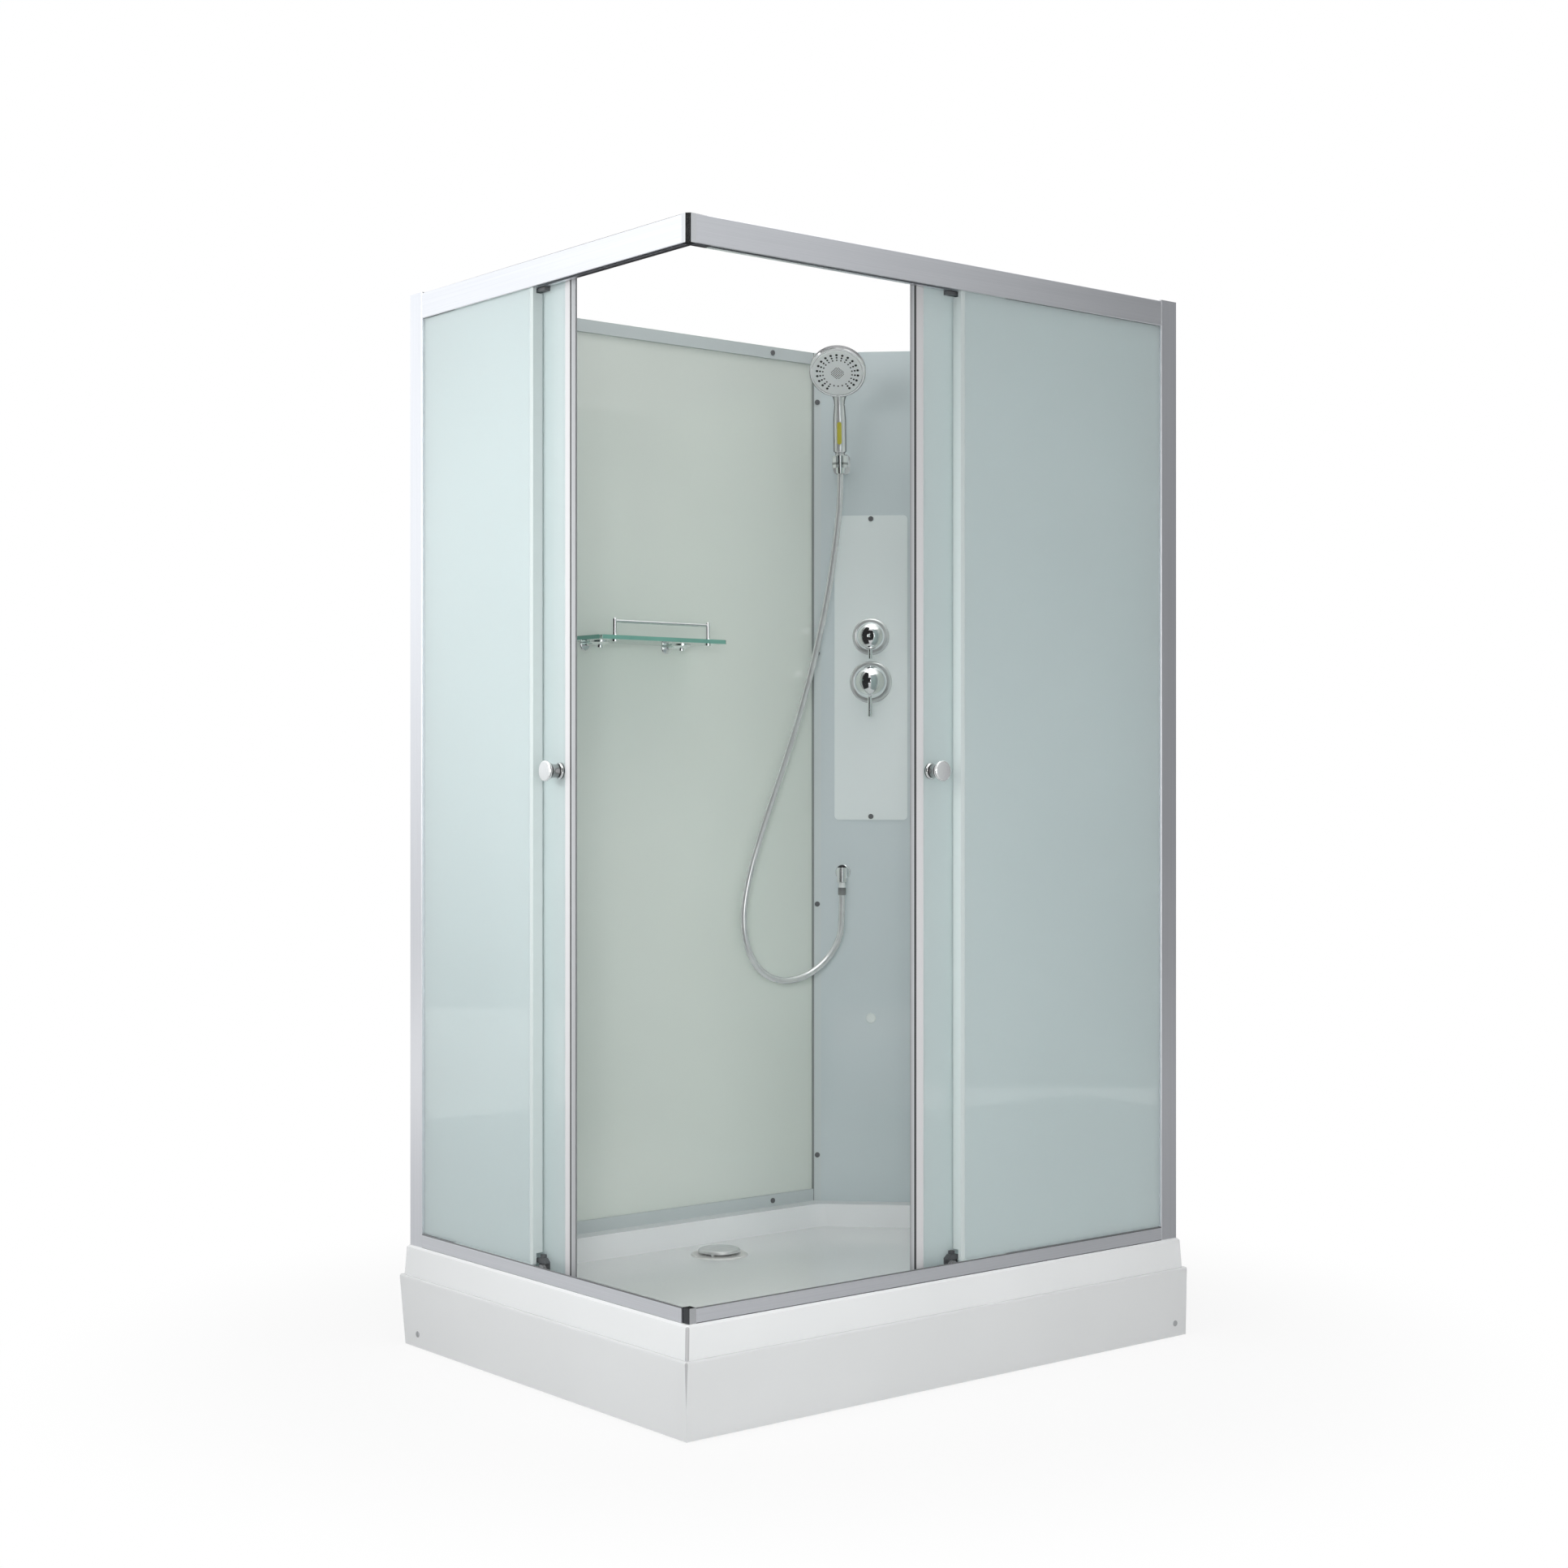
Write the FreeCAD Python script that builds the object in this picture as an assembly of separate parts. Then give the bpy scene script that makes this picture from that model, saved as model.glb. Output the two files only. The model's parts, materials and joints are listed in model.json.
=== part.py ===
import FreeCAD, Part
import math
import os

Vector = FreeCAD.Vector

# Corner shower cabin with two sliding doors that meet at the front corner, in millimetres.
# +Z is up and the origin is on the floor under the middle of the cabin. The long front faces -Y,
# the short front faces -X, and the service column stands across the far corner.
# On a front, w runs along it from the front corner, u runs inwards from its outer face and v upwards.

# Overall
tray_length = 1200.0
tray_depth = 900.0
cabin_height = 1980.0
frame_inset = 14.0

# Tray
front_rim_z = 187.0
rear_rim_z = 164.0
ledge_z = 131.0
floor_z = 119.0
tray_wall = 5.0
rim_overhang = 5.0
rim_edge = 4.0
band_flare = 3.0
rim_width = 46.0
column_ledge = 30.0
basin_slope = 24.0
basin_radius = 40.0
tray_corner_radius = 3.0

# Apron
apron_wall = 4.0
apron_flange = 24.0
apron_draft = 3.0
apron_gap = 2.0
apron_edge_radius = 4.0
apron_end_cut = 16.0
apron_screw_radius = 5.5
apron_screw_height = 1.4
apron_screw_z = 27.0
left_screw_from_end = 62.0
right_screw_from_end = 31.0

# Steel frame and feet under the tray
tube_size = 25.0
tube_wall = 1.5
long_tube_inset = 100.0
end_tube_inset = 180.0
middle_tube_x = -140.0
foot_radius = 25.0
foot_height = 10.0
foot_rod_radius = 6.0
foot_nut_radius = 11.0
foot_nut_height = 10.0
foot_hole_clearance = 0.25

# Waste
waste_x = 18.0
waste_from_back = 174.0
waste_flange_radius = 57.0
waste_flange_height = 2.0
waste_bore_radius = 30.0
trap_wall = 4.0
trap_bottom_z = 28.0
trap_clearance = 0.25
outlet_radius = 20.0
outlet_z = 52.0
outlet_from_back = 6.0
outlet_spigot_length = 60.0
outlet_collar = 2.0
cover_radius = 42.0
cover_thickness = 6.0
cover_gap = 5.0
cover_foot_radius = 3.0
dip_tube_radius = 24.0
dip_tube_wall = 2.0
dip_tube_length = 50.0

# Front frame profiles
profile_wall = 2.0
edge_break = 1.0
rail_depth = 40.0
rail_height = 25.5
rail_inner_height = 12.0
header_height = 47.5
header_drop = 2.0
header_lip = 17.0
web_thickness = 1.5
web_height = 20.0
bead_width = 2.0
bead_height = 10.0
shelf_margin = 0.5
post_width = 43.0
post_depth = 24.0
corner_wing = 17.0
corner_chamfer = 6.5
corner_step = 3.0

# Glass of the fronts
glass = 5.0
fixed_glass_u = 6.0
gasket_inner = 2.0
gasket_height = 9.0
glass_seat = 4.0
post_grip = 10.0
pocket_clearance = 0.2
post_strip = 1.2
edge_strip_lip = 1.5
edge_strip_wrap = 8.0
edge_strip_wall = 1.0

# Doors
door_glass_u = 27.0
door_show = 105.0
door_overlap = 25.0
park_gap = 14.0
door_lift = 6.0
door_in_header = 28.0
nose_gap = 0.4
nose_length = 14.0
stile_width = 18.0
stile_cover = 3.0
stile_grip = 12.0
trailing_wrap = 9.0
trailing_wall = 1.2
fin_thickness = 1.5
fin_gap = 2.0
fin_end_gap = 2.5

# Rollers
roller_from_edge = 98.0
wheel_radius = 8.0
groove_radius = 6.5
groove_width = 3.0
wheel_width = 7.2
wheel_gap = 0.3
wheel_side_gap = 0.4
axle_radius = 2.0
axle_clearance = 0.05
bracket_width = 31.0
bracket_plate = 2.4
bracket_depth = 9.1
bracket_top = 36.0
bracket_shoulder = 7.0
bracket_shoulder_drop = 6.0
bracket_foot = 7.0
bracket_foot_gap = 1.0
bracket_roof_gap = 2.7
bracket_tab_width = 9.0
bracket_tab_height = 6.0
bolt_radius = 3.5
bolt_clearance = 0.5
button_radius = 9.0
button_height = 3.0

# Door knobs
knob_drop = 3.5
knob_from_tip = 51.0
knob_base_radius = 14.4
knob_base_height = 5.0
knob_waist_radius = 12.2
knob_waist_height = 23.0
knob_head_radius = 18.5
knob_length = 34.0
knob_cap_height = 6.0
knob_screw_radius = 4.0
knob_hole_clearance = 1.0

# Rear walls
wall_depth = 18.0
wall_rail_height = 25.0
wall_profile_width = 45.0
wall_glass_inset = 6.0
wall_grip = 8.0
cap_radius = 5.5
cap_height = 2.5
cap_from_foot = 98.0
cap_from_top = 106.0
cap_count = 4
rail_cap_from_end = 113.0

# Service column
column_leg = 192.0
column_edge = 16.0
column_fold = 22.0
column_sheet = 2.5
plate_width = 156.0
plate_height = 650.0
plate_thickness = 3.0
plate_radius = 9.0
plate_from_top = 675.0
plate_cap_from_end = 7.0
plug_radius = 10.5
plug_height = 2.5
plug_below_elbow = 312.0
plug_spigot_radius = 8.0
plug_clearance = 0.2

# Valves
mixer_below_mid = 31.0
diverter_above_mid = 66.0
mixer_plate_radius = 45.0
diverter_plate_radius = 39.5
escutcheon_height = 7.0
mixer_spindle_radius = 15.0
diverter_spindle_radius = 10.0
spindle_clearance = 0.05
spindle_depth = 18.0
valve_hole_clearance = 2.0
mixer_dome_radius = 36.0
mixer_pivot_height = 16.0
mixer_dome_back = 6.0
pivot_pin_radius = 3.0
pivot_pin_length = 34.0
neck_width = 16.0
neck_height = 10.0
neck_play = 0.5
neck_swing = 8.0
spindle_rise = 2.0
mixer_lever_radius = 4.5
mixer_lever_length = 38.0
mixer_lever_height = 10.0
diverter_dome_radius = 30.0
diverter_dome_height = 28.0
diverter_gap = 0.5
diverter_lever_radius = 4.6
diverter_lever_length = 18.0
valve_width = 64.0
valve_depth = 70.0
valve_margin = 38.0
inlet_radius = 10.4
inlet_length = 25.0
inlet_spacing = 40.0
pipe_radius = 8.0
pipe_behind = 40.0

# Hose outlet
elbow_s = -60.0
elbow_below_plate = 112.0
elbow_reach = 26.0
elbow_radius = 11.0
elbow_rise = 5.5
elbow_drop = 20.5
rosette_radius = 16.5
rosette_height = 6.0
lower_nut_length = 11.5
lower_nut_radius = 7.2
ferrule_length = 16.0
ferrule_wall = 1.4
ferrule_edge = 1.0

# Hand shower and its holder
holder_s = -62.0
holder_from_top = 241.0
holder_reach = 50.0
holder_lean = 10.0
holder_base_width = 36.0
holder_base_height = 44.0
holder_base_depth = 9.0
holder_base_radius = 12.0
holder_arm_width = 18.0
holder_arm_height = 24.0
cup_radius = 17.0
cup_height = 24.0
cup_clearance = 0.3
nut_length = 38.0
nut_above_cup = 2.0
nut_low_radius = 8.6
nut_high_radius = 11.4
spigot_radius = 6.0
spigot_length = 10.0
handle_radius = 13.7
handle_foot_radius = 10.0
handle_length = 151.0
neck_start = 120.0
neck_radius = 11.3
neck_ring = 1.6
neck_groove = 0.8
neck_flare_radius = 18.5
neck_flare_length = 22.0
strip_start = 23.0
strip_length = 47.0
strip_width = 9.5
strip_height = 0.7
head_radius = 59.0
head_tilt = 40.0
head_offset = 52.0
head_forward = 12.0
head_front = 8.0
head_back = 22.0
head_rim = 8.0
face_radius = 53.0
face_clearance = 0.4
face_recess = 5.0
face_proud = 1.2
face_pin_radius = 5.0
face_pin_length = 8.0

# Hose
hose_diameter = 14.0
hose_first_run = 50.0
hose_last_run = 46.0
# points between the hose's ends, each measured from its low end, for a rise of hose_rise
hose_rise = 895.4
hose_route = [
    (-22.0, -9.0, 765.0), (-44.0, -10.0, 650.0), (-75.0, -8.0, 526.0), (-114.0, -3.0, 395.0),
    (-162.0, 3.0, 265.0), (-208.0, 8.0, 150.0), (-242.0, 12.0, 52.0), (-259.0, 14.0, -34.0),
    (-250.0, 12.0, -104.0), (-217.0, 8.0, -155.0), (-165.0, 2.0, -177.0), (-108.0, -4.0, -170.0),
    (-56.0, -9.0, -142.0), (-15.0, -11.0, -94.0),
]
arc_share = 0.45

# Shelf
shelf_mid_x = -96.0
shelf_length = 311.0
shelf_depth = 130.0
shelf_thickness = 8.0
shelf_from_top = 642.0
shelf_radius = 8.0
bracket_spacing = 201.0
bracket_from_wall = 48.0
bracket_disc_radius = 19.0
bracket_disc_edge = 2.0
bracket_arm_radius = 3.5
bracket_arm_gap = 1.0
bracket_knob_radius = 6.5
bracket_knob_height = 4.0
bracket_bolt_radius = 5.0
bracket_cap_height = 2.0
wall_disc_radius = 12.0
wall_disc_height = 5.0
shelf_hole_clearance = 0.4
gallery_spacing = 228.0
gallery_from_front = 12.0
gallery_height = 34.0
gallery_post_radius = 4.0
gallery_bar_radius = 3.2
gallery_bar_drop = 6.0
gallery_foot_radius = 6.5
gallery_foot_height = 4.0

# Worked out from the sizes above
half_x = tray_length / 2 - frame_inset
half_y = tray_depth / 2 - frame_inset
front_span = 2 * half_x
side_span = 2 * half_y
corner = Vector(-half_x, -half_y, 0)
header_z = cabin_height - header_drop - header_height
waste_y = half_y - waste_from_back
cap_pitch = (cabin_height - cap_from_top - rear_rim_z - cap_from_foot) / (cap_count - 1)
knob_z = (front_rim_z + cabin_height) / 2 - knob_drop
plate_mid_z = cabin_height - plate_from_top
mixer_z = plate_mid_z - mixer_below_mid
diverter_z = plate_mid_z + diverter_above_mid
elbow_z = plate_mid_z - plate_height / 2 - elbow_below_plate
plug_z = elbow_z - plug_below_elbow
holder_z = cabin_height - holder_from_top
shelf_z = cabin_height - shelf_from_top
web_u = fixed_glass_u + glass + gasket_inner
plate_u = door_glass_u - bracket_plate
wheel_u = plate_u - wheel_side_gap - wheel_width
bead_u = wheel_u + wheel_width / 2
wheel_v = bead_height + wheel_gap + groove_radius
seal_u = door_glass_u - stile_cover + edge_break / 2
closed_tip = seal_u + nose_gap
spans = {"left": side_span, "right": front_span}
column_half = (column_leg - wall_depth) / math.sqrt(2)
column_mid_x = half_x - (column_leg + wall_depth) / 2
column_mid_y = half_y - (column_leg + wall_depth) / 2
column_frame = FreeCAD.Placement(Vector(column_mid_x, column_mid_y, 0), FreeCAD.Rotation(Vector(0, 0, 1), -45))
to_room = Vector(0, -1, 0)
lean = math.radians(holder_lean)
handle_axis = Vector(0, -math.sin(lean), math.cos(lean))
cup_centre = Vector(holder_s, -holder_reach, holder_z)
tilt = math.radians(head_tilt)
face_normal = Vector(0, -math.cos(tilt), -math.sin(tilt))
head_up = Vector(0, -math.sin(tilt), math.cos(tilt))
nut_top = cup_height / 2 + nut_above_cup
nut_bottom = nut_top - nut_length


def fixed_edge(span):
    return (span - post_width - park_gap + door_show) / 2


def door_tip(span):
    return fixed_edge(span) - door_show


def door_width(span):
    return fixed_edge(span) + door_overlap - closed_tip


def box(low, high):
    size = Vector(*high) - Vector(*low)
    return Part.makeBox(size.x, size.y, size.z, Vector(*low))


def polygon_face(points):
    return Part.Face(Part.makePolygon(points + [points[0]]))


def prism(outline, low_z, high_z):
    points = [Vector(x, y, low_z) for x, y in outline]
    return polygon_face(points).extrude(Vector(0, 0, high_z - low_z))


def face_box(w, u, z):
    return box((w[0] - half_x, u[0] - half_y, z[0]), (w[1] - half_x, u[1] - half_y, z[1]))


def face_prism(outline, low_z, high_z):
    return prism([(w - half_x, u - half_y) for w, u in outline], low_z, high_z)


def face_bar(section, low_w, high_w, base_z):
    points = [Vector(low_w - half_x, u - half_y, base_z + v) for u, v in section]
    return polygon_face(points).extrude(Vector(high_w - low_w, 0, 0))


def on_side(shape, side):
    if side == "left":
        return shape.mirror(corner, Vector(1, -1, 0))
    return shape


def on_column(shape):
    placed = shape.copy()
    placed.Placement = column_frame.multiply(placed.Placement)
    return placed


def rod(start, end, radius):
    way = end - start
    return Part.makeCylinder(radius, way.Length, start, way)


def fused(shapes):
    whole = shapes[0].multiFuse(shapes[1:])
    return whole.removeSplitter()


def profile_wire(steps):
    # a step is a point, or a pair of points that an arc passes through and ends at
    edges = []
    at = steps[0]
    for step in steps[1:] + [steps[0]]:
        if isinstance(step[0], tuple):
            middle, end = step
            edges.append(Part.Arc(Vector(at[0], 0, at[1]), Vector(middle[0], 0, middle[1]),
                                  Vector(end[0], 0, end[1])).toShape())
        else:
            end = step
            edges.append(Part.makeLine(Vector(at[0], 0, at[1]), Vector(end[0], 0, end[1])))
        at = end
    return Part.Wire(edges)


def turned(steps, base, axis):
    solid = Part.Face(profile_wire(steps)).revolve(Vector(0, 0, 0), Vector(0, 0, 1), 360)
    solid.Placement = FreeCAD.Placement(base, FreeCAD.Rotation(Vector(0, 0, 1), axis))
    return solid


def button_shape(radius, height, base, axis):
    rounding = height * 0.5
    slant = math.sqrt(0.5) * rounding
    steps = [(0, 0), (radius, 0), (radius, height - rounding),
             ((radius - rounding + slant, height - rounding + slant), (radius - rounding, height)),
             (0, height)]
    return turned(steps, base, axis)


def rounded_outline(points, radius, z):
    # closed wire through the points, each corner rounded by the radius
    edges = []
    starts = []
    ends = []
    count = len(points)
    for index in range(count):
        here = Vector(points[index][0], points[index][1], z)
        before = Vector(points[index - 1][0], points[index - 1][1], z) - here
        after = Vector(points[(index + 1) % count][0], points[(index + 1) % count][1], z) - here
        half_angle = before.getAngle(after) / 2
        reach = radius / math.tan(half_angle)
        before.normalize()
        after.normalize()
        inward = before + after
        inward.normalize()
        starts.append(here + before * reach)
        ends.append(here + after * reach)
        middle = here + inward * (radius / math.sin(half_angle) - radius)
        edges.append(Part.Arc(starts[-1], middle, ends[-1]).toShape())
    for index in range(count):
        edges.append(Part.makeLine(ends[index - 1], starts[index]))
    return Part.Wire(Part.__sortEdges__(edges))


def rectangle(half_length, half_depth):
    return [(-half_length, -half_depth), (half_length, -half_depth),
            (half_length, half_depth), (-half_length, half_depth)]


def basin_outline(inset):
    # inner outline of the tray, cut across the far corner in front of the column
    right = half_x - inset
    back = half_y - inset
    cut = (column_mid_x + column_mid_y) - (column_ledge + inset - rim_width) * math.sqrt(2)
    return [(-half_x + inset, -half_y + inset), (right, -half_y + inset), (right, cut - right),
            (cut - back, back), (-half_x + inset, back)]


def grown(inset, thickness, high):
    # loft of the basin, thicker by the given wall
    low_wire = rounded_outline(basin_outline(inset + basin_slope - thickness), basin_radius + thickness,
                               floor_z - thickness)
    high_wire = rounded_outline(basin_outline(inset - thickness), basin_radius + thickness, high)
    return Part.makeLoft([low_wire, high_wire], True, True)


def tray():
    flare = rim_overhang + band_flare
    low_wire = rounded_outline(rectangle(half_x + flare, half_y + flare), tray_corner_radius, ledge_z)
    high_wire = rounded_outline(rectangle(half_x + rim_overhang, half_y + rim_overhang),
                                tray_corner_radius, front_rim_z - rim_edge)
    over = rim_overhang - rim_edge
    top_wire = rounded_outline(rectangle(half_x + over, half_y + over), tray_corner_radius, front_rim_z)
    body = Part.makeLoft([low_wire, high_wire, top_wire], True, True)
    hollow_x = half_x + rim_overhang - tray_wall
    hollow_y = half_y + rim_overhang - tray_wall
    body = body.cut(box((-hollow_x, -hollow_y, ledge_z - 1), (hollow_x, hollow_y, rear_rim_z - tray_wall)))
    body = body.fuse(grown(rim_width, tray_wall, rear_rim_z - tray_wall))
    body = body.cut(grown(rim_width, 0.0, front_rim_z))
    beyond = 3 * frame_inset
    inner = rim_width + basin_radius
    outline = basin_outline(inner)
    rear = [(-half_x + post_depth, half_y + beyond), (-half_x + post_depth, half_y - post_width),
            (-half_x + rim_width, half_y - post_width), (-half_x + rim_width, outline[4][1]),
            outline[3], outline[2], (outline[1][0], -half_y + rim_width),
            (half_x - post_width, -half_y + rim_width), (half_x - post_width, -half_y + post_depth),
            (half_x + beyond, -half_y + post_depth), (half_x + beyond, half_y + beyond)]
    body = body.cut(prism(rear, rear_rim_z, front_rim_z + beyond))
    hole = Part.makeCylinder(waste_bore_radius + trap_wall + trap_clearance, tray_wall * 3,
                             Vector(waste_x, waste_y, floor_z - 2 * tray_wall))
    return body.cut(hole)


def apron_side(span):
    outer = -frame_inset
    bend = apron_edge_radius
    slant = bend * (1 - math.sqrt(0.5))
    low = apron_gap
    section = Part.Wire([
        Part.makeLine(Vector(0, outer + apron_draft, low), Vector(0, outer, ledge_z - bend)),
        Part.Arc(Vector(0, outer, ledge_z - bend), Vector(0, outer + slant, ledge_z - slant),
                 Vector(0, outer + bend, ledge_z)).toShape(),
        Part.makePolygon([Vector(0, outer + bend, ledge_z), Vector(0, outer + apron_flange, ledge_z),
                          Vector(0, outer + apron_flange, ledge_z - apron_wall),
                          Vector(0, outer + apron_wall, ledge_z - apron_wall),
                          Vector(0, outer + apron_draft + apron_wall, low),
                          Vector(0, outer + apron_draft, low)]),
    ])
    length = span + 2 * frame_inset
    panel = Part.Face(section).extrude(Vector(length, 0, 0))
    panel.translate(corner + Vector(outer, 0, 0))
    mitre = [(outer, outer), (outer + 2 * apron_flange, outer + 2 * apron_flange),
             (outer, outer + 2 * apron_flange)]
    return panel.cut(face_prism(mitre, -1, ledge_z + 1))


def tray_apron():
    end = side_span + frame_inset
    wedge = polygon_face([Vector(end - apron_end_cut - half_x, -half_y - 2 * frame_inset, apron_gap),
                          Vector(end - half_x, -half_y - 2 * frame_inset, ledge_z - apron_edge_radius),
                          Vector(end + apron_wall - half_x, -half_y - 2 * frame_inset, apron_gap)])
    wedge = wedge.extrude(Vector(0, 2 * frame_inset + 2 * apron_flange, 0))
    left_panel = on_side(apron_side(side_span).cut(wedge), "left")
    return fused([apron_side(front_span), left_panel])


def apron_screws():
    slope = apron_draft / (ledge_z - apron_edge_radius - apron_gap)
    face_u = -frame_inset + apron_draft - slope * (apron_screw_z - apron_gap)
    from_end = {"left": left_screw_from_end, "right": right_screw_from_end}
    caps = []
    for side, span in spans.items():
        centre = corner + Vector(span + frame_inset - from_end[side], face_u, apron_screw_z)
        outward = Vector(0, -1, -slope)
        caps.append(on_side(button_shape(apron_screw_radius, apron_screw_height, centre, outward), side))
    return Part.makeCompound(caps)


def frame_tops():
    high = floor_z - tray_wall
    return high - tube_size, high


def foot_places():
    y = half_y - long_tube_inset
    ends = [(x, side * y) for x in (-half_x + end_tube_inset, half_x - end_tube_inset) for side in (-1, 1)]
    return ends + [(middle_tube_x, 0.0)]


def tray_frame():
    low, high = frame_tops()
    half = tube_size / 2
    inner = half - tube_wall
    long_y = half_y - long_tube_inset
    end_x = half_x - end_tube_inset
    over = end_x + tube_size
    tubes = []
    bores = []
    for y in (-long_y, long_y):
        tubes.append(box((-over, y - half, low), (over, y + half, high)))
        bores.append(box((-over - 1, y - inner, low + tube_wall), (over + 1, y + inner, high - tube_wall)))
    for x in (-end_x, middle_tube_x, end_x):
        tubes.append(box((x - half, -long_y, low), (x + half, long_y, high)))
        bores.append(box((x - inner, -long_y, low + tube_wall), (x + inner, long_y, high - tube_wall)))
    frame = fused(tubes)
    for bore in bores:
        frame = frame.cut(bore)
    for x, y in foot_places():
        hole = Part.makeCylinder(foot_rod_radius + foot_hole_clearance, tube_size - tube_wall,
                                 Vector(x, y, low))
        frame = frame.cut(hole)
    return frame


def levelling_feet():
    low, high = frame_tops()
    feet = []
    for x, y in foot_places():
        steps = [(0, 0), (foot_radius, 0), (foot_radius, foot_height / 2), (foot_nut_radius, foot_height),
                 (foot_rod_radius, foot_height), (foot_rod_radius, low - foot_nut_height),
                 (foot_nut_radius, low - foot_nut_height), (foot_nut_radius, low),
                 (foot_rod_radius, low), (foot_rod_radius, high - 2 * tube_wall),
                 (0, high - 2 * tube_wall)]
        feet.append(turned(steps, Vector(x, y, 0), Vector(0, 0, 1)))
    return Part.makeCompound(feet)


def waste_trap():
    wall_radius = waste_bore_radius + trap_wall
    top = floor_z + waste_flange_height
    under = floor_z - tray_wall
    steps = [(waste_bore_radius, top), (waste_flange_radius - waste_flange_height, top),
             (waste_flange_radius, floor_z), (wall_radius, floor_z), (wall_radius, under),
             (waste_flange_radius, under), (waste_flange_radius, under - trap_wall),
             (wall_radius, under - trap_wall), (wall_radius, trap_bottom_z), (0, trap_bottom_z),
             (0, trap_bottom_z + trap_wall), (waste_bore_radius, trap_bottom_z + trap_wall)]
    cup = turned(steps, Vector(waste_x, waste_y, 0), Vector(0, 0, 1))
    end = Vector(waste_x, half_y - outlet_from_back, outlet_z)
    step = end - Vector(0, outlet_spigot_length, 0)
    start = Vector(waste_x, waste_y + waste_bore_radius + trap_wall / 2, outlet_z)
    pipe = rod(start, step, outlet_radius + outlet_collar)
    spigot = rod(step, end, outlet_radius)
    inside = rod(Vector(waste_x, waste_y, outlet_z), end + Vector(0, 1, 0), outlet_radius - trap_wall / 2)
    return fused([cup, pipe, spigot]).cut(inside)


def waste_cover():
    low = floor_z + waste_flange_height + cover_gap
    edge = cover_thickness / 2
    steps = [(0, low + cover_thickness), (cover_radius - 2 * edge, low + cover_thickness),
             ((cover_radius - 0.6 * edge, low + 1.55 * edge), (cover_radius, low)),
             (dip_tube_radius, low), (dip_tube_radius, low - dip_tube_length),
             (dip_tube_radius - dip_tube_wall, low - dip_tube_length),
             (dip_tube_radius - dip_tube_wall, low), (0, low)]
    cap = turned(steps, Vector(waste_x, waste_y, 0), Vector(0, 0, 1))
    feet = []
    reach = (waste_bore_radius + cover_radius) / 2
    for turn in range(3):
        angle = math.radians(90 + 120 * turn)
        place = Vector(waste_x + reach * math.cos(angle), waste_y + reach * math.sin(angle), low - cover_gap)
        feet.append(Part.makeCylinder(cover_foot_radius, cover_gap, place))
    return fused([cap] + feet)


def fixed_glass_box(span, play):
    return face_box((fixed_edge(span) - play, span - post_width + post_grip + play),
                    (fixed_glass_u - play, fixed_glass_u + glass + play),
                    (front_rim_z + glass_seat - play,
                     header_z + header_height - profile_wall - glass_seat + play))


def post(span):
    low_w = span - post_width
    b = edge_break
    outline = [(low_w + b, 0), (span - b, 0), (span, b), (span, post_depth), (low_w, post_depth), (low_w, b)]
    solid = face_prism(outline, front_rim_z, cabin_height)
    return solid.cut(fixed_glass_box(span, pocket_clearance))


def corner_cut(low_z, high_z):
    # what the corner joint and the mitre with the other front take away from a profile's end
    far = rail_depth + corner_wing
    outline = [(-1, -1), (corner_wing, -1), (corner_wing, corner_wing), (far, far), (-1, far)]
    return face_prism(outline, low_z - 1, high_z + 1)


def bead_sides():
    return bead_u - bead_width / 2, bead_u + bead_width / 2


def header(span):
    b = edge_break
    wall = profile_wall
    top = header_height
    web = web_u + web_thickness
    bead_low, bead_high = bead_sides()
    shelf_end = bead_high + shelf_margin
    lip_v = top - header_lip
    section = [(b, 0), (wall, 0), (wall, top - wall), (web_u, top - wall), (web_u, 0), (shelf_end, 0),
               (shelf_end, wall), (bead_high, wall), (bead_high, bead_height), (bead_low, bead_height),
               (bead_low, wall), (web, wall), (web, top - wall), (rail_depth - wall, top - wall),
               (rail_depth - wall, lip_v), (rail_depth, lip_v), (rail_depth, top - b),
               (rail_depth - b, top), (b, top), (0, top - b), (0, b)]
    bar = face_bar(section, 0, span - post_width, header_z)
    return bar.cut(corner_cut(header_z, header_z + header_height))


def bottom_rail(span):
    b = edge_break
    wall = profile_wall
    web = web_u + web_thickness
    bead_low, bead_high = bead_sides()
    inner = rail_depth - wall
    section = [(0, 0), (rail_depth, 0), (rail_depth, rail_inner_height), (inner, rail_inner_height),
               (inner, wall), (bead_high, wall), (bead_high, bead_height), (bead_low, bead_height),
               (bead_low, wall), (web, wall), (web, web_height), (web_u, web_height), (web_u, wall),
               (wall, wall), (wall, rail_height), (b, rail_height), (0, rail_height - b)]
    bar = face_bar(section, 0, span - post_width, front_rim_z)
    return bar.cut(corner_cut(front_rim_z, front_rim_z + rail_height))


def corner_joints():
    c = corner_chamfer
    outline = [(c, 0), (corner_wing, 0), (corner_wing, corner_wing), (0, corner_wing), (0, c)]
    top = face_prism(outline, header_z, header_z + header_height)
    stepped = [(corner_step, 0), (corner_wing, 0), (corner_wing, corner_wing), (corner_step, corner_wing)]
    bottom = face_prism(stepped, front_rim_z, front_rim_z + rail_height)
    return Part.makeCompound([top, bottom])


def fixed_glass(span):
    return fixed_glass_box(span, 0)


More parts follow.
